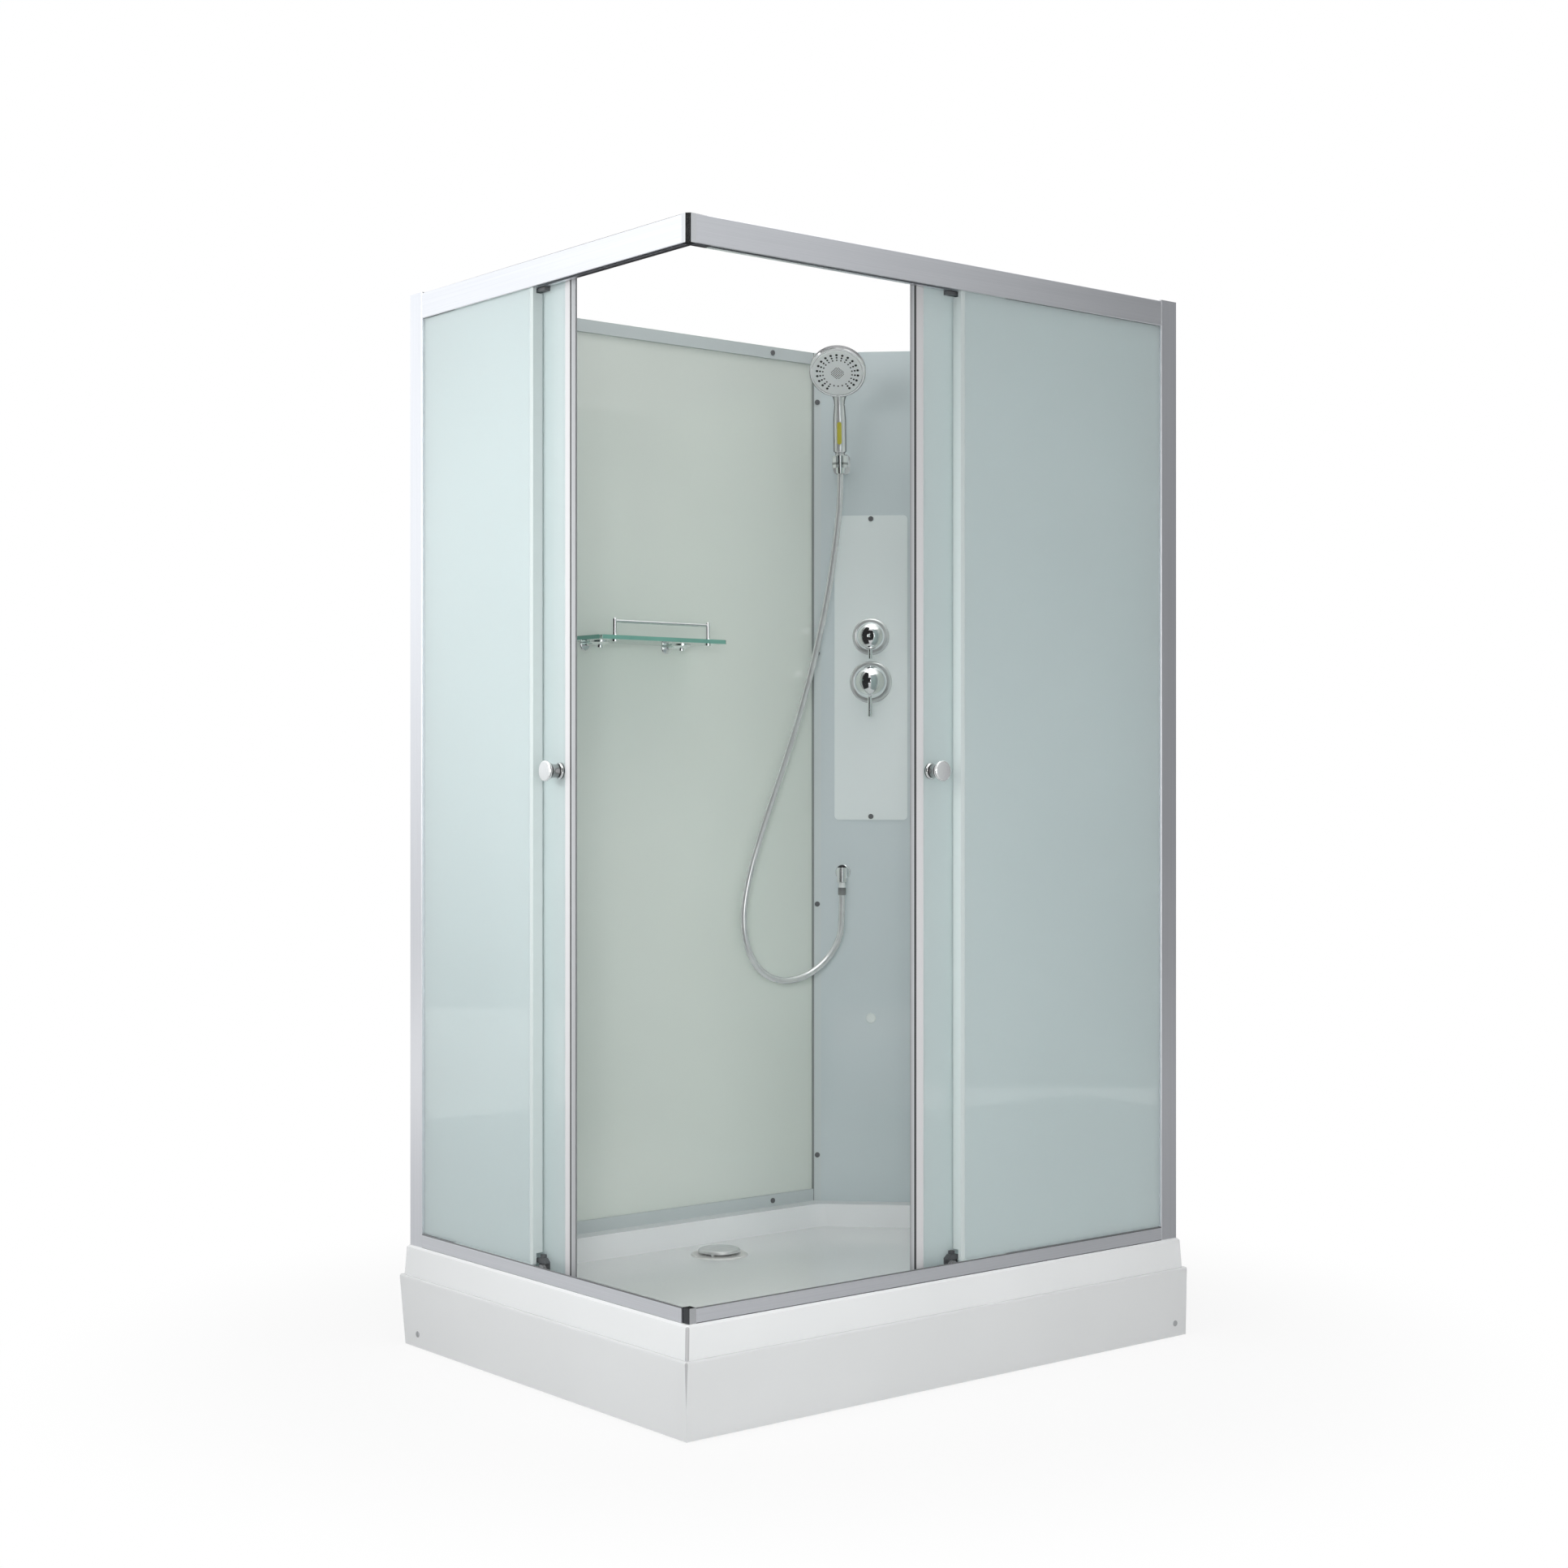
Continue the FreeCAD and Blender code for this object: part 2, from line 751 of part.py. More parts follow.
def panel_seal_set(span):
    start = fixed_edge(span)
    end = span - post_width
    rail_top = front_rim_z + rail_height
    outer = (profile_wall, fixed_glass_u)
    inner = (fixed_glass_u + glass, web_u)
    strips = []
    for u in (outer, inner):
        strips.append(face_box((start, end), u, (header_z, header_z + gasket_height)))
        web_top = front_rim_z + web_height
        top = rail_top if u == outer else web_top
        strips.append(face_box((start, end), u, (top - gasket_height, top)))
    dark = (fixed_glass_u + glass + pocket_clearance, post_depth - edge_break)
    strips.append(face_box((end - post_strip, end), dark, (rail_top, header_z)))
    wrap = face_box((start - edge_strip_lip, start + edge_strip_wrap),
                    (fixed_glass_u - edge_strip_wall, fixed_glass_u + glass + edge_strip_wall),
                    (rail_top, header_z))
    edge = start - edge_strip_lip
    # fin that screens the gap to the door, clear of the roller brackets
    fin = face_box((edge, edge + fin_thickness), (fixed_glass_u + glass, door_glass_u - fin_gap),
                   (front_rim_z + bracket_top + bracket_tab_height + fin_end_gap,
                    header_z - bracket_foot - fin_end_gap))
    strips.append(fused([wrap.cut(fixed_glass_box(span, 0)), fin]))
    return strips


def panel_seals():
    strips = []
    for side, span in spans.items():
        strips += [on_side(strip, side) for strip in panel_seal_set(span)]
    return Part.makeCompound(strips)


def door_heights():
    return front_rim_z + door_lift, header_z + door_in_header


def door_glass_box(span, play):
    low, high = door_heights()
    tip = door_tip(span)
    start = tip + nose_length + stile_width - stile_grip
    end = tip + door_width(span) - trailing_wall
    return face_box((start - play, end + play), (door_glass_u - play, door_glass_u + glass + play),
                    (low - play, high + play))


def roller_places(span):
    # middle of each bracket along the front, and whether it is at the top
    tip = door_tip(span)
    front = tip + roller_from_edge
    rear = tip + door_width(span) - roller_from_edge
    return {"top_front": (front, True), "top_rear": (rear, True),
            "bottom_front": (front, False), "bottom_rear": (rear, False)}


def bolt_height(at_top):
    if at_top:
        return header_z + bead_height
    return front_rim_z + (rail_height + bracket_top) / 2


def face_point(w, u, z):
    return corner + Vector(w, u, z)


def door_glass(span):
    panel = door_glass_box(span, 0)
    holes = [(door_tip(span) + knob_from_tip, knob_z, knob_screw_radius + knob_hole_clearance)]
    for w, at_top in roller_places(span).values():
        holes.append((w, bolt_height(at_top), bolt_radius + bolt_clearance))
    for w, z, radius in holes:
        panel = panel.cut(rod(face_point(w, door_glass_u - glass, z),
                              face_point(w, door_glass_u + 2 * glass, z), radius))
    return panel


def door_stile(span):
    low, high = door_heights()
    b = edge_break
    start = door_tip(span) + nose_length
    end = start + stile_width
    near = door_glass_u - stile_cover
    far = door_glass_u + glass + stile_cover
    outline = [(start, near), (end - b, near), (end, near + b), (end, far - b), (end - b, far), (start, far)]
    return face_prism(outline, low, high).cut(door_glass_box(span, pocket_clearance))


def door_seals(span):
    low, high = door_heights()
    tip = door_tip(span)
    far = 2 * door_glass_u + glass - seal_u
    nose = [(tip, seal_u), (tip + nose_length, seal_u), (tip + nose_length, far), (tip + far - seal_u, far)]
    lead = face_prism(nose, low, high)
    end = tip + door_width(span)
    near = door_glass_u - trailing_wall
    wrap = face_box((end - trailing_wrap, end), (near, door_glass_u + glass + trailing_wall), (low, high))
    wrap = wrap.cut(door_glass_box(span, 0))
    fin_low = front_rim_z + rail_height + fin_end_gap
    fin_start = fixed_glass_u + glass + fin_gap
    fin = face_box((end - fin_gap - fin_thickness, end - fin_gap), (fin_start, near),
                   (fin_low, header_z - fin_end_gap))
    return Part.makeCompound([lead, fused([wrap, fin])])


def door_knobs(span):
    head_low = knob_base_height + knob_waist_height
    waist_mid = (knob_base_height + head_low) / 2
    rounding = (knob_length - head_low) / 2
    slant = rounding * math.sqrt(0.5)
    inner = knob_head_radius - rounding
    steps = [(0, 0), (knob_base_radius, 0), (knob_base_radius, knob_base_height * 0.6),
             (knob_base_radius - knob_base_height * 0.4, knob_base_height),
             ((knob_waist_radius, waist_mid), (knob_head_radius - rounding * 0.3, head_low)),
             (knob_head_radius, head_low + rounding * 0.5), (knob_head_radius, knob_length - rounding),
             ((inner + slant, knob_length - rounding + slant), (inner, knob_length)), (0, knob_length)]
    w = door_tip(span) + knob_from_tip
    outside = turned(steps, face_point(w, door_glass_u, knob_z), Vector(0, -1, 0))
    inside = button_shape(knob_base_radius, knob_cap_height, face_point(w, door_glass_u + glass, knob_z),
                          Vector(0, 1, 0))
    screw = rod(face_point(w, door_glass_u, knob_z), face_point(w, door_glass_u + glass, knob_z),
                knob_screw_radius)
    return fused([outside, screw, inside])


def bracket_shape(w, low_z, u):
    # shouldered plate of a bottom bracket, u deep
    half = bracket_width / 2
    top = front_rim_z + bracket_top
    side = top - bracket_shoulder_drop
    neck = half - bracket_shoulder
    outline = [(-half, low_z), (half, low_z), (half, side), (neck, top), (-neck, top), (-half, side)]
    face = polygon_face([face_point(w + across, u[0], z) for across, z in outline])
    return face.extrude(Vector(0, u[1] - u[0], 0))


def roller_bracket(w, at_top):
    body_u = (plate_u - bracket_depth, plate_u)
    base = header_z if at_top else front_rim_z
    centre_z = base + wheel_v
    if at_top:
        half = bracket_width / 2
        wide = (w - half, w + half)
        plate = face_box(wide, (plate_u, door_glass_u), (base - bracket_foot, base + door_in_header - edge_break))
        body = face_box(wide, body_u, (base - bracket_foot, base - bracket_foot_gap))
        pieces = [plate, body]
    else:
        low = base + bead_height + profile_wall
        plate = bracket_shape(w, low, (plate_u, door_glass_u))
        roof = centre_z + wheel_radius + bracket_roof_gap
        body = bracket_shape(w, roof, body_u)
        tab_half = bracket_tab_width / 2
        tab = face_box((w - tab_half, w + tab_half), (plate_u - bracket_depth / 2, door_glass_u),
                       (base + bracket_top, base + bracket_top + bracket_tab_height))
        pieces = [plate, body, tab]
    axle = rod(face_point(w, plate_u, centre_z), face_point(w, wheel_u - wheel_side_gap, centre_z), axle_radius)
    bolt_z = bolt_height(at_top)
    bolt = rod(face_point(w, door_glass_u, bolt_z), face_point(w, door_glass_u + glass, bolt_z), bolt_radius)
    button = button_shape(button_radius, button_height, face_point(w, door_glass_u + glass, bolt_z),
                          Vector(0, 1, 0))
    return fused(pieces + [axle, bolt, button])


def door_brackets(span):
    return Part.makeCompound([roller_bracket(w, at_top) for w, at_top in roller_places(span).values()])


def wheel(w, at_top):
    base = header_z if at_top else front_rim_z
    flange = (wheel_width - groove_width) / 2
    ease = (wheel_radius - groove_radius) * 0.2
    bore = axle_radius + axle_clearance
    steps = [(bore, 0), (wheel_radius, 0), (wheel_radius, flange - ease), (groove_radius, flange),
             (groove_radius, flange + groove_width), (wheel_radius, flange + groove_width + ease),
             (wheel_radius, wheel_width), (bore, wheel_width)]
    return turned(steps, face_point(w, wheel_u, base + wheel_v), Vector(0, 1, 0))


def wall_glass_box(wall, play):
    low_z = rear_rim_z + wall_rail_height - wall_grip - play
    high_z = cabin_height - wall_rail_height + wall_grip + play
    start = post_depth + wall_profile_width - wall_grip - play
    near = wall_depth - wall_glass_inset + play
    far = wall_depth - wall_glass_inset - glass - play
    if wall == "back":
        return box((-half_x + start, half_y - near, low_z),
                   (half_x - column_leg + wall_grip + play, half_y - far, high_z))
    return box((half_x - near, -half_y + start, low_z),
               (half_x - far, half_y - column_leg + wall_grip + play, high_z))


def wall_bar(wall, start, end, low_z, high_z):
    # bar along a wall, start and end measured from the front it begins at
    if wall == "back":
        return box((-half_x + start, half_y - wall_depth, low_z), (-half_x + end, half_y, high_z))
    return box((half_x - wall_depth, -half_y + start, low_z), (half_x, -half_y + end, high_z))


def wall_spans():
    return {"back": front_span - column_leg, "side": side_span - column_leg}


def wall_rails():
    rails = []
    for wall, end in wall_spans().items():
        pocket = wall_glass_box(wall, pocket_clearance)
        start = post_depth + wall_profile_width
        for low_z in (rear_rim_z, cabin_height - wall_rail_height):
            rails.append(wall_bar(wall, start, end, low_z, low_z + wall_rail_height).cut(pocket))
    return Part.makeCompound(rails)


def column_edge_profile(wall):
    # upright between a wall's end and the column, drawn for the back wall and mirrored for the side wall
    end_x = half_x - column_leg
    near = Vector(end_x, half_y - wall_depth, 0)
    along = Vector(math.sqrt(0.5), -math.sqrt(0.5), 0)
    behind = Vector(math.sqrt(0.5), math.sqrt(0.5), 0)
    inner = near + along * column_edge
    rear = inner + behind * column_fold
    outline = [(near.x, near.y), (end_x, half_y), (rear.x, half_y), (rear.x, rear.y), (inner.x, inner.y)]
    upright = prism(outline, rear_rim_z, cabin_height)
    if wall == "side":
        upright = upright.mirror(Vector(column_mid_x, column_mid_y, 0), Vector(1, -1, 0))
    return upright.cut(wall_glass_box(wall, pocket_clearance))


def wall_profiles():
    uprights = []
    for wall in wall_spans():
        pocket = wall_glass_box(wall, pocket_clearance)
        bar = wall_bar(wall, post_depth, post_depth + wall_profile_width, rear_rim_z, cabin_height)
        uprights.append(bar.cut(pocket))
        uprights.append(column_edge_profile(wall))
    return Part.makeCompound(uprights)


def screw_caps():
    caps = []
    room_side = {"back": Vector(0, -1, 0), "side": Vector(-1, 0, 0)}
    heights = [rear_rim_z + cap_from_foot + index * cap_pitch for index in range(cap_count)]
    rails = [rear_rim_z + wall_rail_height / 2, cabin_height - wall_rail_height / 2]
    for wall, end in wall_spans().items():
        upright = post_depth + wall_profile_width / 2
        start = post_depth + wall_profile_width + rail_cap_from_end
        places = [(upright, z) for z in heights]
        places += [(along, z) for along in (start, end - rail_cap_from_end) for z in rails]
        for along, z in places:
            if wall == "back":
                centre = Vector(-half_x + along, half_y - wall_depth, z)
            else:
                centre = Vector(half_x - wall_depth, -half_y + along, z)
            caps.append(button_shape(cap_radius, cap_height, centre, room_side[wall]))
    edge_s = column_half - column_edge / 2
    for s in (-edge_s, edge_s):
        for z in heights:
            caps.append(on_column(button_shape(cap_radius, cap_height, Vector(s, 0, z), to_room)))
    for end in (-1, 1):
        z = plate_mid_z + end * (plate_height / 2 - plate_cap_from_end)
        caps.append(on_column(button_shape(cap_radius, cap_height, Vector(0, -plate_thickness, z), to_room)))
    return Part.makeCompound(caps)


def valve_holes(depth, clearance):
    # round holes for the two spindles, from the given depth behind the column's face out to the room
    holes = []
    for z, radius in ((mixer_z, mixer_spindle_radius), (diverter_z, diverter_spindle_radius)):
        holes.append(rod(Vector(0, depth, z), Vector(0, -2 * mixer_dome_radius, z), radius + clearance))
    return holes


def column_panel():
    half = column_half - column_edge
    sheet = column_sheet
    outline = [(-half, 0), (half, 0), (half, column_fold), (half - sheet, column_fold), (half - sheet, sheet),
               (sheet - half, sheet), (sheet - half, column_fold), (-half, column_fold)]
    panel = prism(outline, rear_rim_z, cabin_height)
    for hole in valve_holes(column_fold, valve_hole_clearance):
        panel = panel.cut(hole)
    pipe_hole = rod(Vector(elbow_s, -1, elbow_z), Vector(elbow_s, column_fold, elbow_z), elbow_radius)
    plug_hole = rod(Vector(0, -1, plug_z), Vector(0, column_fold, plug_z), plug_spigot_radius + plug_clearance)
    return on_column(panel.cut(pipe_hole).cut(plug_hole))


def control_plate():
    half_width = plate_width / 2
    half_height = plate_height / 2
    wire = rounded_outline(rectangle(half_width, half_height), plate_radius, 0)
    plate = Part.Face(wire).extrude(Vector(0, 0, plate_thickness))
    plate.rotate(Vector(0, 0, 0), Vector(1, 0, 0), 90)
    plate.translate(Vector(0, 0, plate_mid_z))
    for hole in valve_holes(1, valve_hole_clearance):
        plate = plate.cut(hole)
    return on_column(plate)


def escutcheons():
    rims = []
    for z, radius, bore in ((mixer_z, mixer_plate_radius, mixer_spindle_radius),
                            (diverter_z, diverter_plate_radius, diverter_spindle_radius)):
        bore += spindle_clearance
        high = escutcheon_height
        steps = [(bore, 0), (radius, 0), (radius, high * 0.3),
                 ((radius - high * 0.25, high * 0.8), (radius - high, high)), (bore, high)]
        rims.append(on_column(turned(steps, Vector(0, -plate_thickness, z), to_room)))
    return Part.makeCompound(rims)


def valve_front():
    # distance of the escutcheons' faces from the column's face
    return plate_thickness + escutcheon_height


def mixer_spindle():
    front = valve_front() + spindle_rise
    pivot = valve_front() + mixer_pivot_height
    barrel = rod(Vector(0, spindle_depth, mixer_z), Vector(0, -front, mixer_z), mixer_spindle_radius)
    neck = box((-neck_width / 2, -pivot - neck_height / 2, mixer_z - neck_height / 2),
               (neck_width / 2, -front, mixer_z + neck_height / 2))
    pin = rod(Vector(-pivot_pin_length / 2, -pivot, mixer_z), Vector(pivot_pin_length / 2, -pivot, mixer_z),
              pivot_pin_radius)
    return on_column(fused([barrel, neck, pin]))


def mixer_handle():
    pivot = Vector(0, -valve_front() - mixer_pivot_height, mixer_z)
    radius = mixer_dome_radius
    dome = Part.makeSphere(radius, pivot)
    back = pivot.y + mixer_dome_back
    dome = dome.cut(box((-radius, back, mixer_z - radius), (radius, back + 2 * radius, mixer_z + radius)))
    lever_y = pivot.y - mixer_lever_height
    lever = rod(Vector(0, lever_y, mixer_z - radius * 0.6),
                Vector(0, lever_y, mixer_z - radius - mixer_lever_length), mixer_lever_radius)
    handle = fused([dome, lever])
    wide = neck_width / 2 + neck_play
    tall = neck_height / 2 + neck_swing
    room = box((-wide, pivot.y - neck_height / 2 - neck_swing, mixer_z - tall),
               (wide, back + radius, mixer_z + tall))
    pin_half = pivot_pin_length / 2 + neck_play
    bore = rod(Vector(-pin_half, pivot.y, mixer_z), Vector(pin_half, pivot.y, mixer_z),
               pivot_pin_radius + axle_clearance)
    return on_column(handle.cut(room).cut(bore))


def diverter_knob():
    low = escutcheon_height + diverter_gap
    high = low + diverter_dome_height
    radius = diverter_dome_radius
    steps = [(0, -plate_thickness - spindle_depth), (diverter_spindle_radius, -plate_thickness - spindle_depth),
             (diverter_spindle_radius, low), (radius, low), (radius, low + diverter_dome_height * 0.4),
             ((radius * 0.75, low + diverter_dome_height * 0.84), (0, high))]
    knob = turned(steps, Vector(0, -plate_thickness, diverter_z), to_room)
    lever_y = -plate_thickness - low - diverter_dome_height * 0.4
    lever = rod(Vector(0, lever_y, diverter_z - radius * 0.6),
                Vector(0, lever_y, diverter_z - radius - diverter_lever_length), diverter_lever_radius)
    return on_column(fused([knob, lever]))


def valve_low():
    return mixer_z - valve_margin


def valve_body():
    half = valve_width / 2
    low = valve_low()
    block = box((-half, column_sheet, low), (half, column_sheet + valve_depth, diverter_z + valve_margin))
    stubs = []
    for s in (-inlet_spacing / 2, inlet_spacing / 2):
        place = Vector(s, column_sheet + valve_depth, mixer_z)
        stubs.append(rod(place, place + Vector(0, inlet_length, 0), inlet_radius))
    body = fused([block] + stubs)
    for z, radius in ((mixer_z, mixer_spindle_radius), (diverter_z, diverter_spindle_radius)):
        body = body.cut(rod(Vector(0, spindle_depth + neck_play, z), Vector(0, -1, z),
                            radius + foot_hole_clearance))
    return on_column(body)


def outlet_pipe():
    high = valve_low() + valve_margin / 2
    start = Vector(-valve_width / 2, pipe_behind, high)
    bend = Vector(elbow_s, pipe_behind, high)
    foot = Vector(elbow_s, pipe_behind, elbow_z)
    end = Vector(elbow_s, column_sheet, elbow_z)
    runs = [rod(start, bend, pipe_radius), rod(bend, foot, pipe_radius), rod(foot, end, pipe_radius)]
    bends = [Part.makeSphere(pipe_radius, bend), Part.makeSphere(pipe_radius, foot)]
    return on_column(fused(runs + bends))


def outlet_elbow():
    base = Vector(elbow_s, 0, elbow_z)
    bend = Vector(elbow_s, -elbow_reach, elbow_z)
    high = rosette_height
    steps = [(0, 0), (rosette_radius, 0), (rosette_radius, high * 0.3),
             ((rosette_radius * 0.85, high * 0.8), (elbow_radius, high)), (0, high)]
    rosette = turned(steps, base, to_room)
    spigot = rod(Vector(elbow_s, column_sheet, elbow_z), bend, elbow_radius)
    crown = bend + Vector(0, 0, elbow_rise)
    body = rod(crown, bend - Vector(0, 0, elbow_drop), elbow_radius)
    return on_column(fused([rosette, spigot, Part.makeSphere(elbow_radius, crown), body]))


def hose_low_end():
    return Vector(elbow_s, -elbow_reach, elbow_z - elbow_drop - lower_nut_length - ferrule_length)


def hose_lower_nut():
    wide = hose_diameter / 2 + ferrule_wall
    edge = ferrule_edge
    top = ferrule_length + lower_nut_length
    steps = [(0, 0), (wide - edge, 0), (wide, edge), (wide, ferrule_length - edge), (wide - edge, ferrule_length),
             (lower_nut_radius, ferrule_length), (lower_nut_radius, top - edge), (lower_nut_radius - edge, top),
             (0, top)]
    return on_column(turned(steps, hose_low_end(), Vector(0, 0, 1)))


def blanking_plug():
    cap = button_shape(plug_radius, plug_height, Vector(0, 0, plug_z), to_room)
    spigot = rod(Vector(0, 0, plug_z), Vector(0, column_fold / 2, plug_z), plug_spigot_radius)
    return on_column(fused([cap, spigot]))


def on_handle(distance):
    return cup_centre + handle_axis * distance


def nut_radius(distance):
    share = (distance - nut_bottom) / nut_length
    return nut_low_radius + share * (nut_high_radius - nut_low_radius)


def shower_holder():
    wire = rounded_outline(rectangle(holder_base_width / 2, holder_base_height / 2), holder_base_radius, 0)
    base = Part.Face(wire).extrude(Vector(0, 0, holder_base_depth))
    base.rotate(Vector(0, 0, 0), Vector(1, 0, 0), 90)
    base.translate(Vector(holder_s, 0, holder_z))
    half = holder_arm_width / 2
    arm = box((holder_s - half, -holder_reach, holder_z - holder_arm_height / 2),
              (holder_s + half, -holder_base_depth / 2, holder_z + holder_arm_height / 2))
    low = -cup_height / 2
    ring = rod(on_handle(low), on_handle(-low), cup_radius)
    holder = fused([base, arm, ring])
    over = 2 * cup_height
    steps = [(0, low - over), (nut_radius(low - over) + cup_clearance, low - over),
             (nut_radius(over - low) + cup_clearance, over - low), (0, over - low)]
    seat = turned(steps, cup_centre, handle_axis)
    half_slot = hose_diameter / 2 + cup_clearance
    slot = box((-half_slot, -2 * cup_radius, low - over), (half_slot, 0, over - low))
    slot.Placement = FreeCAD.Placement(cup_centre, FreeCAD.Rotation(Vector(1, 0, 0), holder_lean))
    return on_column(holder.cut(seat).cut(slot))


def hose_upper_nut():
    socket = spigot_radius + axle_clearance
    steps = [(0, nut_bottom), (nut_low_radius, nut_bottom), (nut_high_radius, nut_top), (socket, nut_top),
             (socket, nut_top - spigot_length), (0, nut_top - spigot_length)]
    return on_column(turned(steps, cup_centre, handle_axis))


def head_centre():
    return on_handle(handle_length) + head_up * head_offset + face_normal * head_forward


def handset_body():
    start = nut_top + cup_clearance
    shoulder = handle_radius - handle_foot_radius
    bottom = nut_top - spigot_length + cup_clearance
    taper = nut_top + strip_start + strip_length + shoulder
    groove = neck_radius - neck_groove
    flare = neck_start + neck_flare_length
    curl = neck_radius + 0.3 * (neck_flare_radius - neck_radius)
    steps = [(0, bottom), (spigot_radius, bottom), (spigot_radius, start), (handle_foot_radius, start),
             (handle_foot_radius, start + shoulder), (handle_radius, start + 2 * shoulder),
             (handle_radius, taper), (neck_radius, neck_start - neck_ring), (groove, neck_start - neck_ring),
             (groove, neck_start), (neck_radius, neck_start),
             ((curl, neck_start + 0.6 * neck_flare_length), (neck_flare_radius, flare)),
             ((neck_flare_radius * 0.75, flare + neck_flare_radius * 0.5), (0, flare + neck_flare_radius * 0.75))]
    handle = turned(steps, cup_centre, handle_axis)
    rim = head_rim / 2
    curve = [(0, -head_back), ((head_radius * 0.6, -head_back * 0.78), (head_radius, -rim)),
             (head_radius, head_front - rim * 0.5), (head_radius - rim * 0.5, head_front), (0, head_front)]
    head = turned(curve, head_centre(), face_normal)
    body = fused([handle, head])
    floor = head_front - face_recess
    recess = rod(head_centre() + face_normal * floor, head_centre() + face_normal * (floor + 2 * head_radius),
                 face_radius + face_clearance)
    pin_hole = rod(head_centre() + face_normal * (floor - face_pin_length - face_clearance),
                   head_centre() + face_normal * floor, face_pin_radius + axle_clearance)
    return on_column(body.cut(recess).cut(pin_hole))


def handset_face():
    low = head_front - face_recess + face_clearance
    high = head_front + face_proud
    edge = face_proud
    steps = [(0, low - face_pin_length), (face_pin_radius, low - face_pin_length), (face_pin_radius, low),
             (face_radius, low), (face_radius, high - edge), (face_radius - edge, high), (0, high)]
    return on_column(turned(steps, head_centre(), face_normal))


def handset_grip_strip():
    start = nut_top + strip_start
    tube = rod(on_handle(start), on_handle(start + strip_length), handle_radius + strip_height)
    tube = tube.cut(rod(on_handle(start - 1), on_handle(start + strip_length + 1), handle_radius))
    half = strip_width / 2
    wire = rounded_outline(rectangle(half, strip_length / 2), half * 0.98, 0)
    pad = Part.Face(wire).extrude(Vector(0, 0, 2 * handle_radius))
    pad.Placement = FreeCAD.Placement(on_handle(start + strip_length / 2),
                                      FreeCAD.Rotation(Vector(1, 0, 0), 90 + holder_lean))
    return on_column(tube.common(pad))


def hose_points():
    high_end = column_frame.multVec(on_handle(nut_bottom))
    high_next = column_frame.multVec(on_handle(nut_bottom - hose_first_run))
    low_end = column_frame.multVec(hose_low_end())
    low_next = low_end - Vector(0, 0, hose_last_run)
    stretch = (high_end.z - low_end.z) / hose_rise
    middle = [low_end + Vector(x, y, z * stretch) for x, y, z in hose_route]
    return [high_end, high_next] + middle + [low_next, low_end]


def shower_hose():
    points = hose_points()
    edges = []
    radii = []
    length = 0.0
    at = points[0]
    for before, here, after in zip(points, points[1:], points[2:]):
        back = before - here
        on = after - here
        half_turn = (math.pi - back.getAngle(on)) / 2
        reach = arc_share * min(back.Length, on.Length)
        radius = reach / math.tan(half_turn)
        radii.append(radius)
        back.normalize()
        on.normalize()
        inward = back + on
        inward.normalize()
        start = here + back * reach
        end = here + on * reach
        middle = here + inward * (radius / math.cos(half_turn) - radius)
        edges.append(Part.LineSegment(at, start).toShape())
        edges.append(Part.Arc(start, middle, end).toShape())
        length += (start - at).Length + radius * 2 * half_turn
        at = end
    edges.append(Part.LineSegment(at, points[-1]).toShape())
    length += (points[-1] - at).Length
    path = Part.Wire(edges)
    circle = Part.Circle(points[0], points[1] - points[0], hose_diameter / 2).toShape()
    tube = path.makePipeShell([Part.Wire([circle])], True, False)
    section = math.pi * hose_diameter ** 2 / 4
    print("hose length", round(length), "least radius", round(min(radii)),
          "volume share", round(tube.Volume / (section * length), 4))
    return tube


def shelf_rows():
    back = half_y - wall_depth
    return back, back - shelf_depth


def shelf_holes():
    back, front = shelf_rows()
    places = []
    for side in (-0.5, 0.5):
        places.append((shelf_mid_x + side * bracket_spacing, back - bracket_from_wall, bracket_bolt_radius))
        places.append((shelf_mid_x + side * gallery_spacing, front + gallery_from_front, gallery_post_radius))
    return places


def shelf_glass():
    back, front = shelf_rows()
    low_x = shelf_mid_x - shelf_length / 2
    high_x = shelf_mid_x + shelf_length / 2
    outline = [(low_x, front), (high_x, front), (high_x, back), (low_x, back)]
    slab = Part.Face(rounded_outline(outline, shelf_radius, shelf_z)).extrude(Vector(0, 0, shelf_thickness))
    for x, y, radius in shelf_holes():
        slab = slab.cut(Part.makeCylinder(radius + shelf_hole_clearance, 3 * shelf_thickness,
                                          Vector(x, y, shelf_z - shelf_thickness)))
    return slab


def shelf_brackets():
    back, front = shelf_rows()
    glass_y = half_y - wall_depth + wall_glass_inset
    top = shelf_z + shelf_thickness
    brackets = []
    for side in (-0.5, 0.5):
        x = shelf_mid_x + side * bracket_spacing
        y = back - bracket_from_wall
        arm_z = shelf_z - bracket_arm_gap - bracket_arm_radius
        knob_top = arm_z - bracket_arm_radius
        low_z = knob_top - bracket_knob_height
        cap = top + bracket_cap_height
        steps = [(0, low_z), (bracket_knob_radius, low_z), (bracket_knob_radius, knob_top),
                 (bracket_disc_radius, shelf_z - bracket_disc_edge), (bracket_disc_radius, shelf_z),
                 (bracket_bolt_radius, shelf_z), (bracket_bolt_radius, top),
                 (2 * bracket_bolt_radius, top), (2 * bracket_bolt_radius - 1, cap), (0, cap)]
        clamp = turned(steps, Vector(x, y, 0), Vector(0, 0, 1))
        arm = rod(Vector(x, y, arm_z), Vector(x, glass_y, arm_z), bracket_arm_radius)
        plate = button_shape(wall_disc_radius, wall_disc_height, Vector(x, glass_y, arm_z), Vector(0, -1, 0))
        brackets.append(fused([clamp, arm, plate]))
    return Part.makeCompound(brackets)


